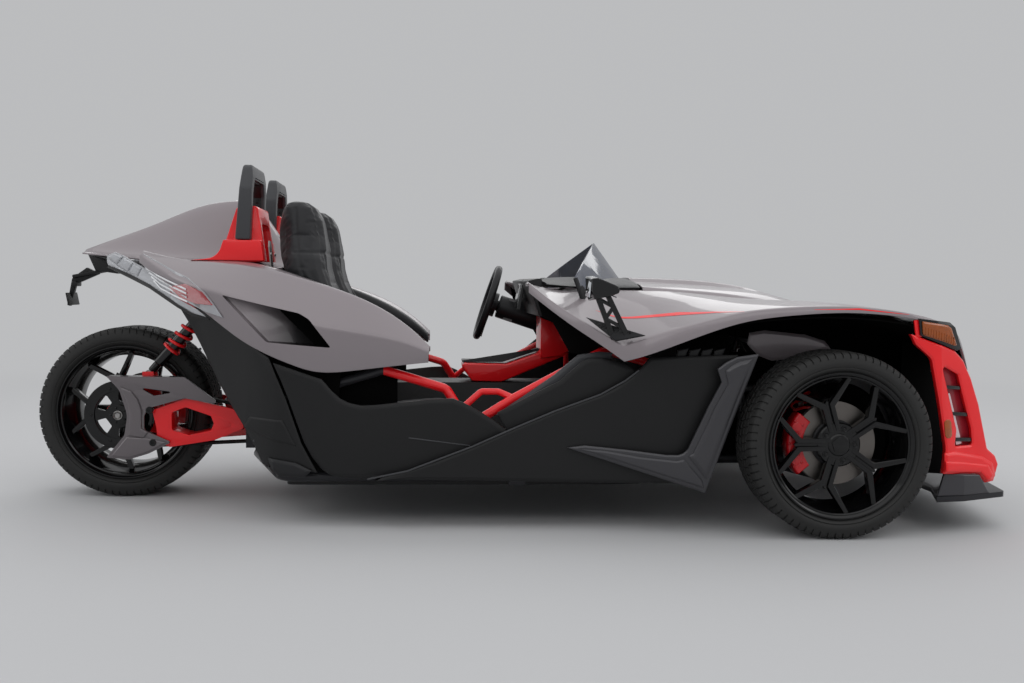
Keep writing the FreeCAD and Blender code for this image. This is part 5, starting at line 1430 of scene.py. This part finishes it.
bmesh.ops.recalc_face_normals(bm, faces=bm.faces)
add_piece("footwell_walls", bm, "liner_black")
print("cabin pieces", 4)

# %% [markdown]
# ## Hoops and fairings
# Each hoop wears a satin cover, with a darker inner band held by a row of bolts. The red fairing round its
# foot is creased, with a return flange behind the seat.

# %% Hoops and fairings
softened("roll_hoops", 0.007, segments=3, material="hoop_grey")
softened("hoop_fairings", 0.005, segments=3)
INNER_BAND = [(-0.1385, 1.02), (-0.1385, 1.214), (-0.1125, 1.2655), (0.1125, 1.2655), (0.1385, 1.214),
              (0.1385, 1.02)]
for side, sign in SIDES:
    bm = bmesh.new()
    middle = SEAT_Y * sign - 0.005 * sign
    for (y0, z0), (y1, z1) in zip(INNER_BAND, INNER_BAND[1:]):
        facing = Vector((0, -(z1 - z0), y1 - y0))
        flat_bar(bm, (-1.018, middle + y0, z0), (-1.018, middle + y1, z1), 0.034, 0.012, facing)
    for z in (1.060, 1.105, 1.150, 1.195):
        for way in (-1, 1):
            bolt(bm, (-1.018, middle + way * 0.1315, z), (0, -way, 0), 0.006)
    add_piece("hoop_band_" + side, bm, "black_plastic")
    bm = bmesh.new()
    bracket = outline_plate(bm, [(-0.075, 0), (0.075, 0), (0.075, 0.042), (0.052, 0.060), (-0.052, 0.060),
                                 (-0.075, 0.042)], 0.005, bevel=0.001)
    put(bm, bracket, aim((-0.941, middle, 0.962), (1, 0, 0.1)) @ Matrix.Rotation(math.pi / 2, 4, "Z"))
    for y in (-0.055, 0.055):
        bolt(bm, (-0.936, middle + y, 0.985), (1, 0, 0), 0.007)
    add_piece("fairing_bracket_" + side, bm, "steel")
print("hoops", len(SIDES))

# %% [markdown]
# The trim on top of each door side is padded, and follows the quarter's inner edge. It is one more shell,
# whose stations are taken from the quarter's own first column.

# %% Door-top trims
DOOR_TOP = {}
for x in (-335, -416, -560, -713, -880):
    y, z = QUARTER[x][0] if x in QUARTER else (690, 632) if x > -400 else (567, 909)
    DOOR_TOP[x] = [(y - 58, z - 34), (y - 52, z - 4), (y - 34, z + 7), (y - 12, z + 9), (y + 8, z + 5),
                   (y + 14, z - 1)]
for side, sign in SIDES:
    shell("door_top_" + side, DOOR_TOP, "trim_black", sign=sign, folds={4: 0.6}, thickness=0.012)
print("door tops", len(SIDES))

# %% [markdown]
# ## Side panels
# The sills, swooshes, fins and covers are moulded sheets. Seen from above each one follows a line of straight
# runs, and each shows a flat field inside a chamfered border. A sheet is cut flat, its field is raised by an
# inset, and then it is laid onto its line.


# %% Sheets laid onto a line seen from above
def line_at(line, x):
    """The distance across the car of a line of (x, y) points, in mm."""
    pairs = list(zip(line, line[1:]))
    for (x0, y0), (x1, y1) in pairs:
        if x <= x1:
            break
    return y0 + (y1 - y0) * (x - x0) / (x1 - x0)


def sheet_on(bm, line, points, sign, lift=0.0, thickness=12.0, border=0.0, rise=0.0, bevel=0.0012):
    """A sheet cut to (x, z) points in mm and laid onto a line, which its outer face may stand off."""
    verts = outline_plate(bm, mm(points), thickness * MM)
    top = {f for v in verts for f in v.link_faces if f.normal.z > 0.9 and f.calc_center_median().z > 0}
    if border:
        bmesh.ops.inset_region(bm, faces=list(top), thickness=border, depth=rise, use_even_offset=True)
    whole = linked(verts)
    made = rounded(bm, corners_of(edges_of(whole), 10), bevel)
    whole = linked(whole + made["verts"])
    for x, _ in line[1:-1]:
        geom = whole + edges_of(whole) + faces_of(whole)
        bmesh.ops.bisect_plane(bm, geom=geom, plane_co=(x * MM, 0, 0), plane_no=(1, 0, 0), dist=0.00001)
        whole = linked(whole)
    for vert in whole:
        across = line_at(line, vert.co.x / MM) + lift + vert.co.z / MM - thickness
        vert.co = Vector((vert.co.x, sign * across * MM, vert.co.y))
    bmesh.ops.recalc_face_normals(bm, faces=faces_of(whole))
    return whole


def mirrored_sheet(name, node, line, points, material, *how):
    """One sheet on each side of the car. The pair replaces a node, if there is one."""
    for side, sign in SIDES:
        bm = bmesh.new()
        sheet_on(bm, line, points, sign, *how)
        piece = add_piece(name + "_" + side, bm, material, sharp=25)
    if node:
        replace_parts(piece, node)


def lay_sheets(table):
    """A table has, by name: the node a pair replaces, its line, its finish, how it is laid, and its outline.

    How it is laid: lift and thickness in mm, then the border's width, its rise and the bevel in metres."""
    for name, (node, line, material, how, points) in table.items():
        mirrored_sheet(name, node, line, points, material, *how)
    print(", ".join(table))


# %% [markdown]
# The sill runs the length of the cabin and dips below the seat. The swoosh lies over it with a long upper
# edge that catches the light; a thin grey bar along it is a painted highlight, as is a shorter grey bar along
# a crease of the sill. The fin, in dark metallic paint, stands out behind the front wheel.

# %% Sills, swooshes and fins
SILL_LINE = [(-896, 700), (-500, 780), (0, 792), (440, 800)]
SWOOSH_LINE = [(-570, 812), (640, 838), (790, 842)]
FIN_LINE = [(160, 842), (600, 886), (840, 912)]
KICK_LINE = [(-110, 752), (130, 752), (360, 742)]
NOTCH_LINE = [(430, 818), (760, 828)]
lay_sheets({
    "sill": ("side_panels", SILL_LINE, "black_plastic", (0, 12, 0.016, 0.004, 0.0025), [
        (-886, 590), (-858, 530), (-830, 462), (-800, 380), (-771, 303), (-742, 252), (-711, 214),
                                                                                        (-680, 192),
        (-644, 183), (430, 183), (430, 558), (398, 589), (345, 609), (285, 621), (250, 620), (226, 612),
        (180, 573), (141, 537), (90, 512), (-81, 422), (-43, 354), (-90, 392), (-150, 430), (-200, 456),
        (-239, 472), (-320, 468), (-440, 455), (-520, 446), (-566, 443), (-610, 452), (-640, 466),
                                                                                        (-672, 494),
        (-707, 534)]),
    "swoosh": ("side_swooshes", SWOOSH_LINE, "black_plastic", (0, 12, 0.012, 0.004, 0.0018), [
        (-564, 188), (-480, 199), (-401, 218), (-290, 255), (-167, 305), (-20, 372), (120, 432), (283, 492),
        (330, 514), (375, 544), (420, 580), (459, 626), (775, 638), (625, 200), (618, 173)]),
    "fin": ("side_fins", FIN_LINE, "graphite", (0, 12, 0.007, 0.003), [
        (165, 304), (227, 313), (370, 300), (514, 283), (556, 283), (574, 290), (589, 304), (637, 409),
        (660, 460), (703, 544), (687, 590), (716, 614), (753, 634), (830, 645), (652, 150)]),
    "fin_blade": (None, FIN_LINE, "graphite", (8, 6, 0.007, 0.004), [
        (205, 302), (300, 296), (420, 276), (548, 264), (574, 270), (640, 196), (646, 168)]),
    "fin_stem": (None, FIN_LINE, "graphite", (8, 6, 0.014, 0.005), [
        (590, 280), (606, 292), (655, 398), (676, 450), (724, 540), (712, 584), (734, 604), (760, 618),
        (806, 628), (654, 200)]),
    "kick_panel": (None, KICK_LINE, "black_plastic", (0, 12, 0.02, 0.004, 0.002), [
        (-70, 344), (-40, 352), (141, 540), (226, 612), (285, 622), (360, 606), (360, 300), (-40, 300)]),
    "kick_top": (None, KICK_LINE, "hoop_grey", (6, 20, 0.012, 0.004), [
        (-84, 410), (-20, 404), (150, 512), (236, 592), (330, 612), (338, 636), (288, 640), (212, 628),
        (126, 556)]),
})
lay_sheets({f"swoosh_rib_{i}": (None, NOTCH_LINE, "black_plastic", (0, 8, 0.004, 0.002), [
    (560 + i * 44, 652), (600 + i * 44, 660), (588 + i * 44, 628), (556 + i * 44, 622)]) for i in range(4)})
# Painted highlight: thin grey bars along the swoosh's upper edge and along a crease of the sill stand in for
# the light those edges catch.
bm = bmesh.new()
HIGHLIGHT_RIDGE = [(-540, 196), (-398, 226), (-170, 314), (-20, 381), (120, 441), (284, 502), (372, 552), (418, 588)]
for side, sign in SIDES:
    for (x0, z0), (x1, z1) in zip(HIGHLIGHT_RIDGE, HIGHLIGHT_RIDGE[1:]):
        start = spot(x0, (line_at(SWOOSH_LINE, x0) + 1.5) * sign, z0 - 9)
        end = spot(x1, (line_at(SWOOSH_LINE, x1) + 1.5) * sign, z1 - 9)
        flat_bar(bm, start, end + (end - start).normalized() * 0.002, 0.006, 0.007, (0, sign, 0), bevel=0.002)
    flat_bar(bm, spot(-396, 786 * sign, 331), spot(-177, 792 * sign, 304), 0.004, 0.006, (0, sign, 0))
add_piece("swoosh_ridge_painted_highlight", bm, "hoop_grey")
print("swoosh ridge", len(HIGHLIGHT_RIDGE), "points")

# %% [markdown]
# The covers behind the cabin lean in towards the tail. A lower facet and a small skirt lie over the main
# sheet.

# %% Rear side covers
COVER_LINE = [(-1330, 330), (-1200, 410), (-1000, 612), (-880, 702), (-710, 744)]
lay_sheets({
    "rear_cover": ("rear_side_covers", COVER_LINE, "black_plastic", (0, 12, 0.01, 0.003, 0.002), [
        (-1304, 798), (-1240, 706), (-1120, 507), (-1060, 420), (-1005, 350), (-960, 280), (-926, 218),
        (-722, 198), (-780, 300), (-838, 460), (-902, 606), (-960, 640), (-1090, 750)]),
    "rear_cover_facet": (None, COVER_LINE, "black_plastic", (5, 6, 0.008, 0.003), [
        (-1004, 346), (-978, 388), (-850, 384), (-800, 292), (-900, 312)]),
    "rear_skirt": (None, COVER_LINE, "trim_black", (12, 14, 0.012, 0.005), [
        (-905, 246), (-800, 232), (-742, 206), (-770, 180), (-860, 182), (-890, 206)]),
})

# %% [markdown]
# ## Frame, floor and engine
# The welded tubes keep their shape, with their seams smoothed. Two planes cut the side frame where its colour
# changes: the tubes beside the seats are red, and those under the floor and behind are dark.

# %% Frame, floor and engine
for node, width, material in (("frame_front", 0.001, None), ("frame_rear", 0.001, "dark_paint"),
                              ("floor_tub", 0.004, None), ("engine_block", 0.012, None),
                              ("exhaust", 0.002, None)):
    softened(node, width, material=material)
AHEAD, ABOVE = ((-0.49, 0, 0), (1, 0, 0)), ((0, 0, 0.212), (0, 0, 1))
BEHIND, BELOW = ((-0.49, 0, 0), (-1, 0, 0)), ((0, 0, 0.212), (0, 0, -1))
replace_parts(slice_of("frame_sides", "frame_sides_red", "red_paint", [AHEAD, ABOVE]), "frame_sides")
slice_of("frame_sides", "frame_sides_low", "dark_paint", [AHEAD, BELOW])
slice_of("frame_sides", "frame_sides_back", "dark_paint", [BEHIND])
print("frame slices", 3)

# %% [markdown]
# The arch liner follows the fender from below: its stations are worked out from the fender's own rows, a
# little inside them. The other liners are plain dark sheets that close the view into the front bay and behind
# the sills.

# %% Liners and arch panel
LINER = {}
for x, row in FENDER.items():
    if x > 450:
        inner, outer = row[0], row[4]
        LINER[x] = [(inner[0] - 8, inner[1] - 150), (inner[0] + 4, inner[1] - 34),
                    ((inner[0] + outer[0]) / 2, row[2][1] - 26), (outer[0] - 26, outer[1] - 28),
                    (outer[0] - 14, outer[1] - 40)]
for side, sign in SIDES:
    shell("arch_liner_" + side, LINER, "liner_black", sign=sign, thickness=0.004, out=(0, 0, 1))
lay_sheets({name: (None, line, "liner_black", (0, thickness), points) for name, (thickness, line, points) in {
    "liner_rear": (6, [(560, 620), (800, 620)],
                   [(600, 240), (690, 240), (750, 420), (800, 620), (800, 700), (600, 700)]),
    "liner_front": (6, [(1180, 440), (1500, 420), (1640, 380)],
                    [(1200, 240), (1560, 180), (1600, 330), (1560, 600), (1480, 690), (1300, 700),
                     (1200, 640)]),
    "liner_nose": (5, [(1455, 640), (1560, 620), (1680, 560)],
                   [(1458, 190), (1690, 160), (1700, 480), (1620, 640), (1458, 680)]),
    "liner_gap": (4, [(-930, 650), (-690, 690)],
                  [(-905, 205), (-700, 200), (-660, 300), (-640, 620), (-905, 640)]),
    "liner_bay": (4, [(-730, 640), (-430, 660)], [(-725, 440), (-440, 430), (-440, 600), (-725, 620)]),
    "liner_inner": (4, [(680, 300), (1500, 300)], [(700, 200), (1440, 200), (1440, 560), (720, 600)]),
}.items()})
lay_sheets({"arch_panel": ("arch_panels", [(800, 620), (1250, 620)], "body_paint", (0, 5, 0.012, 0.004), [
    (868, 664), (874, 707), (931, 717), (1090, 702), (1167, 678), (1190, 649), (1014, 608), (963, 602),
    (912, 620)])})
print("liners", len(LINER), "stations")

# %% [markdown]
# ## Scoop behind the door
# A deep wedge is pressed into the quarter. The opening is cut through the skin, and a pocket behind it slopes
# from the rear down to its mouth at the front, with painted shade: the pocket's paint darkens towards the
# front, and a black sheet over its front part is painted shade for the deep mouth.

# %% Scoop
SCOOP = [(-1068, 831, 684), (-786, 769, 739), (-750, 748, 747), (-672, 648, 764), (-905, 664, 724)]
DEPTH = (0, 70, 84, 84, 16)


def pocket(sign, keep):
    """The walls and floor of the pocket, behind (-1) or ahead (1) of a slanting line across it."""
    bm = bmesh.new()
    middle = Vector((-0.80, 0.735))
    rim = []
    floor = []
    for (x, z, y), deep in zip(SCOOP, DEPTH):
        here = Vector((x * MM, z * MM))
        outer, inner = here + (here - middle).normalized() * 0.004, here.lerp(middle, 0.04)
        rim.append(bm.verts.new((outer.x, sign * (y - 10) * MM, outer.y)))
        floor.append(bm.verts.new((inner.x, sign * (y - 12 - deep) * MM, inner.y)))
    for i in range(len(rim)):
        bm.faces.new((rim[i - 1], rim[i], floor[i], floor[i - 1]))
    ends = [bm.edges.get((floor[i - 1], floor[i])) for i in range(len(floor))]
    bmesh.ops.triangulate(bm, faces=bmesh.ops.contextual_create(bm, geom=ends)["faces"])
    bmesh.ops.recalc_face_normals(bm, faces=bm.faces)
    if sum(f.normal.y * sign * f.calc_area() for f in bm.faces) < 0:
        bmesh.ops.reverse_faces(bm, faces=bm.faces)
    cut_by(bm, (-0.808, 0, 0.722), (0.068 * keep, 0, 0.07 * keep), clear_inner=True)
    bmesh.ops.solidify(bm, geom=bm.faces[:], thickness=0.002)
    bevel_corners(bm, 0.001)
    return bm


for side, sign in SIDES:
    skin = bpy.data.objects["quarter_skin_" + side]
    bm = bmesh.new()
    prism = outline_plate(bm, [(x * MM, z * MM) for x, z, _ in SCOOP], 0.16)
    posts = [e for e in bm.edges if abs(e.verts[0].co.z - e.verts[1].co.z) > 0.1]
    rounded(bm, posts, 0.009, 3)
    stand(bm.verts, 0.65, sign)
    bmesh.ops.recalc_face_normals(bm, faces=bm.faces)
    mesh = bpy.data.meshes.new("scoop_cutter")
    bm.to_mesh(mesh)
    bm.free()
    cutter = in_scene("scoop_cutter", mesh)
    cut = skin.modifiers.new("scoop", "BOOLEAN")
    cut.object = cutter
    cut.solver = "EXACT"
    skin.modifiers.move(len(skin.modifiers) - 1, len(skin.modifiers) - 2)
    take_modifiers(skin)
    bpy.data.objects.remove(cutter)
    # Painted shade: the pocket wears the paint with painted shade, and the near-black sheet ahead of the
    # slanting line stands in for the shade in the scoop's deep mouth.
    for name, material, keep in (("pocket", "scoop_painted_shade", -1), ("mouth", "liner_black", 1)):
        add_piece(f"scoop_{name}_{side}", pocket(sign, keep), material)
print("scoops", len(SIDES))

# %% [markdown]
# A red stripe crosses the fender behind the wheel, widest in the middle, and a thin line follows the folded
# edge over the wheel. Each is laid onto the skin by casting rays at it.

# %% Stripes and seam bolts
STRIPE = [(285, 665, 1), (430, 735, 9), (571, 795, 18), (680, 870, 9), (763, 950, 1.5)]


def along(path, share):
    """The values at a share of the way along a path, by its rows."""
    place = share * (len(path) - 1)
    i = min(int(place), len(path) - 2)
    return [a + (b - a) * (place - i) for a, b in zip(path[i], path[i + 1])]


EDGE_LINE = [(x, row[5][1], 2.6) for x, row in FENDER.items() if 900 < x < 1420]
EDGE_LINE[0], EDGE_LINE[-1] = (*EDGE_LINE[0][:2], 0.5), (*EDGE_LINE[-1][:2], 0.5)


def stripe_on(skin, path, from_side, sign):
    """A thin strip along a path, laid onto a skin from above, or from the side of the car."""
    graph = bpy.context.evaluated_depsgraph_get()
    surface = skin.evaluated_get(graph)
    bm = bmesh.new()
    bmesh.ops.create_grid(bm, x_segments=60, y_segments=2, size=1)
    way = Vector((0, -sign, 0)) if from_side else Vector((0, 0, -1))
    for vert in bm.verts:
        x, second, half = along(path, (vert.co.x + 1) / 2)
        second += vert.co.y * half
        start = spot(x, 1300 * sign, second) if from_side else spot(x, second * sign, 1300)
        hit, place, normal, _ = surface.ray_cast(start, way)
        vert.co = place + normal * 0.0007 if hit else start + way * 0.4
    if sum(f.normal.dot(way) for f in bm.faces) > 0:
        bmesh.ops.reverse_faces(bm, faces=bm.faces)
    return bm


for side, sign in SIDES:
    skin = bpy.data.objects["fender_skin_" + side]
    add_piece("stripe_" + side, stripe_on(skin, STRIPE, False, sign), "bright_red", sharp=180)
    add_piece("edge_line_" + side, stripe_on(skin, EDGE_LINE, True, sign), "bright_red", sharp=180)
bm = bmesh.new()
for side, sign in SIDES:
    for x, z in ((-1200, 620), (-1080, 440), (-960, 300)):
        bolt(bm, spot(x, (line_at(COVER_LINE, x) + 2) * sign, z), (0, sign, 0), 0.005, 0.002)
add_piece("seam_bolts", bm, "hoop_grey")
print("stripes and bolts")

# %% [markdown]
# ## Nose
# Each fang is a folded sheet with a slot in it. Its outer face gets a rolled border round the rim and round
# the slot. Behind the slot stand a red panel, a white blade of light and three black bars.


# %% Fangs
def crowned(node, border, rise, bevel=0.0015, material=None):
    """A merged copy whose outer faces have a chamfered border, which replaces its node."""
    bm = merged(node)
    for sign in (1, -1):
        outer = [f for f in bm.faces if f.normal.y * sign > 0.5 and f.calc_center_median().y * sign > 0
                 and f.calc_area() > 0.0005]
        bmesh.ops.inset_region(bm, faces=outer, thickness=border, depth=rise, use_even_offset=True)
    bevel_corners(bm, bevel, angle=12)
    piece = add_piece(node + "_crowned", bm, material or SLOT_OF[node], BODY_OF[node], sharp=30)
    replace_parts(piece, node)
    return piece


FANG_LINE = [(1340, 958), (1480, 925), (1600, 862), (1785, 780)]
crowned("front_fangs", 0.007, 0.004, material="bright_red")
RED_PANEL = [(1480, 620), (1560, 584), (1650, 372), (1652, 306), (1560, 306), (1560, 380)]
BARS = ([(1482, 541), (1582, 531), (1580, 519), (1488, 527)], [(1514, 444), (1622, 433), (1622, 420),
                                                               (1520, 431)],
        [(1546, 348), (1648, 341), (1648, 327), (1550, 334)])
lay_sheets({
    "slot_panel": (None, FANG_LINE, "slot_red", (-20, 4, 0, 0, 0.001), RED_PANEL),
    "slot_blade": (None, FANG_LINE, "light_bar", (-8, 10, 0, 0, 0.003), [
        (1514, 508), (1534, 508), (1594, 342), (1600, 322), (1572, 318), (1566, 350)]),
    "slot_back": (None, FANG_LINE, "liner_black", (-28, 4, 0, 0, 0.001), RED_PANEL),
    **{f"slot_bar_{i}": (None, FANG_LINE, "gloss_black", (-2, 16, 0, 0, 0.002), bar)
       for i, bar in enumerate(BARS)},
    "fang_band": (None, FANG_LINE, "bright_red", (8, 12, 0.014, 0.006, 0.003), [
        (1506, 296), (1560, 298), (1690, 272), (1742, 244), (1758, 196), (1738, 176), (1714, 176),
                                                                                (1676, 211),
        (1510, 225)]),
    "fang_fold": (None, FANG_LINE, "bright_red", (16, 8, 0.009, 0.004, 0.003), [
        (1508, 268), (1600, 258), (1716, 240), (1744, 200), (1732, 184), (1716, 182), (1678, 215),
                                                                                (1512, 229)]),
    "side_reflector": (None, FANG_LINE, "amber_lens", (7, 6, 0, 0, 0.002), [
        (1502, 408), (1512, 416), (1528, 415), (1537, 404), (1542, 358), (1534, 348), (1518, 348),
                                                                            (1509, 358)]),
    "fang_stem": (None, [(1340, 956), (1480, 922)], "bright_red", (0, 10, 0, 0, 0.002), [
        (1368, 770), (1396, 772), (1412, 716), (1380, 704)]),
})

# %% [markdown]
# The amber marker sits in a black surround under the tip of the fender. Its lens is ribbed on the inside,
# which a row of shallow bars behind a clear face gives.

# %% Marker lamps
MARKER_LINE = [(1345, 964), (1480, 928), (1560, 890)]
lay_sheets({
    "marker_surround": (None, MARKER_LINE, "gloss_black", (0, 8, 0, 0, 0.002), [
        (1384, 776), (1516, 762), (1542, 744), (1574, 668), (1554, 660), (1420, 706), (1392, 716)]),
    "marker_lens": ("marker_lamps", MARKER_LINE, "amber_lens", (5, 8, 0.006, 0.004, 0.002), [
        (1396, 766), (1502, 752), (1520, 742), (1548, 682), (1542, 678), (1408, 716), (1400, 722)]),
})
bm = bmesh.new()
for side, sign in SIDES:
    for i in range(12):
        x = 1410 + i * 11
        low = 714 - (x - 1400) * 0.29
        start = spot(x, (line_at(MARKER_LINE, x) + 9.4) * sign, low + 6)
        flat_bar(bm, start, start + Vector((0, 0, 0.030 - i * 0.0002)), 0.004, 0.003, (0, sign, 0),
                 bevel=0.0008)
add_piece("marker_ribs", bm, "amber_lens")
print("markers", len(SIDES))

# %% [markdown]
# The head lamps are black pods under the bonnet's corners, each with a slim bar of light. The splitter and
# its end plates are in dark metallic paint, and the intake has level bars.

# %% Head lamps, splitter and intake
softened("front_lamps", 0.004, material="gloss_black")
bm = bmesh.new()
for side, sign in SIDES:
    for z in (520, 548):
        flat_bar(bm, spot(1688, 420 * sign, z), spot(1684, 560 * sign, z + 10), 0.010, 0.006, (1, 0, 0.2),
                 bevel=0.002)
add_piece("lamp_bars", bm, "light_bar")
softened("splitter", 0.003)
crowned("splitter_ends", 0.006, 0.0025, material="graphite")
softened("grille", 0.002)
print("nose done")

# %% [markdown]
# ## Tail
# The tail lamps wrap round the quarter's rear edge. Each one is clear and faceted at the top, white along its
# lower edge, and red ahead of that. A plane cuts the frame's lamp where the colour changes.


# %% Tail lamps
LAMP_LINE = [(-1606, 200), (-1485, 305), (-1425, 372), (-1250, 570), (-1110, 652)]
clear = slice_of("tail_lamps", "tail_clear", "clear_lens", [((-1.285, 0, 0.9), (-1, 0, 0))])
slice_of("tail_lamps", "tail_red", "tail_lens", [((-1.285, 0, 0.9), (1, 0, 0)),
                                                 ((-1.300, 0, 0.838), (0.42, 0, 0.9))])
slice_of("tail_lamps", "tail_white", "clear_lens", [((-1.285, 0, 0.9), (1, 0, 0)),
                                                    ((-1.300, 0, 0.838), (-0.42, 0, -0.9))])
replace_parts(clear, "tail_lamps")
FACETS = ([(-1600, 970), (-1566, 984), (-1524, 972), (-1556, 944)], [(-1552, 940), (-1520, 968), (-1474, 946),
          (-1500, 914)], [(-1496, 912), (-1470, 942), (-1430, 926), (-1450, 896)],
          [(-1594, 962), (-1558, 940), (-1500, 908), (-1590, 936)])
lay_sheets({f"tail_facet_{i}": (None, LAMP_LINE, "clear_lens", (4, 5, 0.005, 0.005, 0.0008), facet)
            for i, facet in enumerate(FACETS)})


def laid_on(bm, skin, points, sign, lift, thickness, bevel=0.001):
    """A plate cut to (x, z) points in mm, laid onto a skin from the side, or onto the lamp's line."""
    graph = bpy.context.evaluated_depsgraph_get()
    surface = skin.evaluated_get(graph)
    outline_plate(bm, mm(points), thickness * MM, bevel=bevel)
    low, high = min(x for x, _ in points), max(x for x, _ in points)
    for x in range(low + 20, high, 20):
        cut_by(bm, (x * MM, 0, 0), (1, 0, 0), dist=0.00001)
    for vert in bm.verts:
        x, z = vert.co.x, vert.co.y
        y = line_at(LAMP_LINE, x / MM) * MM
        hit, place, _, _ = surface.ray_cast(Vector((x, 1.3 * sign, z)), Vector((0, -sign, 0)))
        y = max(y, abs(place.y)) if hit and abs(place.y) < y + 0.05 else y
        vert.co = Vector((x, sign * (y + lift * MM + vert.co.z - thickness * MM), z))
    bmesh.ops.recalc_face_normals(bm, faces=bm.faces)


TAIL_CLEAR = [(-1418, 982), (-1335, 947), (-1203, 891), (-1133, 840), (-1097, 795), (-1065, 749),
              (-1133, 768), (-1234, 813), (-1329, 868), (-1411, 920)]
TAIL_RED = [(-1290, 857), (-1210, 869), (-1141, 840), (-1101, 793), (-1169, 797), (-1234, 817)]
STRIPES = [[(-1404 + i * 12, 922 - i * 15), (-1400 + i * 12, 928 - i * 15), (-1330, 899 - i * 15),
            (-1206, 852 - i * 15), (-1209, 846 - i * 15), (-1332, 893 - i * 15)] for i in range(4)]
for side, sign in SIDES:
    skin = bpy.data.objects["quarter_skin_" + side]
    for name, points, material, lift in (("clear_high", TAIL_CLEAR, "clear_lens", 5),
                                         ("red_high", TAIL_RED, "tail_lens", 8)):
        bm = bmesh.new()
        laid_on(bm, skin, points, sign, lift, 6)
        add_piece(f"tail_{name}_{side}", bm, material)
    bm = bmesh.new()
    for stripe in STRIPES:
        part, mesh = bmesh.new(), bpy.data.meshes.new("stripe_part")
        laid_on(part, skin, stripe, sign, 7.5, 4, bevel=0.0008)
        part.to_mesh(mesh)
        part.free()
        bm.from_mesh(mesh)
        bpy.data.meshes.remove(mesh)
    add_piece(f"tail_stripes_{side}", bm, "lamp_stripe")
lay_sheets({"tail_edge": (None, LAMP_LINE, "gloss_black", (3, 14, 0, 0, 0.001), [
    (-1604, 930), (-1597, 938), (-1487, 902), (-1391, 866), (-1254, 798), (-1186, 763), (-1122, 747),
    (-1118, 738), (-1183, 749), (-1253, 783), (-1390, 850), (-1488, 886)])})
print("tail lamp pieces", 12)

# %% [markdown]
# Under the tip hangs the arm for the number plate, which is left off. The arm carries a small lamp, and joins
# a black wedge under the tip. The underside of the tail is closed with a black pan.

# %% Plate arm and tail pan
softened("plate_bracket", 0.003)
bm = bmesh.new()
flat_bar(bm, (-1.802, -0.07, 0.800), (-1.802, 0.07, 0.800), 0.052, 0.006, (1, 0, 0.2), bevel=0.002)
flat_bar(bm, (-1.786, -0.035, 0.862), (-1.786, 0.035, 0.862), 0.022, 0.020, (0, 0, 1), bevel=0.004)
flat_bar(bm, (-1.796, 0, 0.892), (-1.640, 0, 0.924), 0.050, 0.014, (0, 0, 1), bevel=0.004)
add_piece("plate_lamp", bm, "black_plastic")
bm = bmesh.new()
WEDGE = [(-1738, 990), (-1655, 968), (-1585, 930), (-1600, 905), (-1640, 910), (-1702, 918)]
wedge = outline_plate(bm, mm(WEDGE), 2.0, bevel=0.0)
for vert in wedge:
    half = 0.012 + max(0.0, vert.co.x + 1.738) * 0.42
    vert.co = Vector((vert.co.x, (1 - vert.co.z) * half, vert.co.y))
bmesh.ops.recalc_face_normals(bm, faces=bm.faces)
bevel_corners(bm, 0.003)
add_piece("tail_wedge", bm, "black_plastic")
PAN = {-1100: [(0, 905), (200, 905), (400, 915)], -1300: [(0, 905), (170, 908), (372, 922)],
       -1500: [(0, 915), (110, 925), (262, 945)], -1640: [(0, 948), (60, 956), (140, 968)],
       -1725: [(0, 978), (24, 980), (56, 984)]}
shell("tail_pan", both_halves(PAN), "black_plastic", thickness=0.004, levels=2, out=(0, 0, -1))
print("tail done")
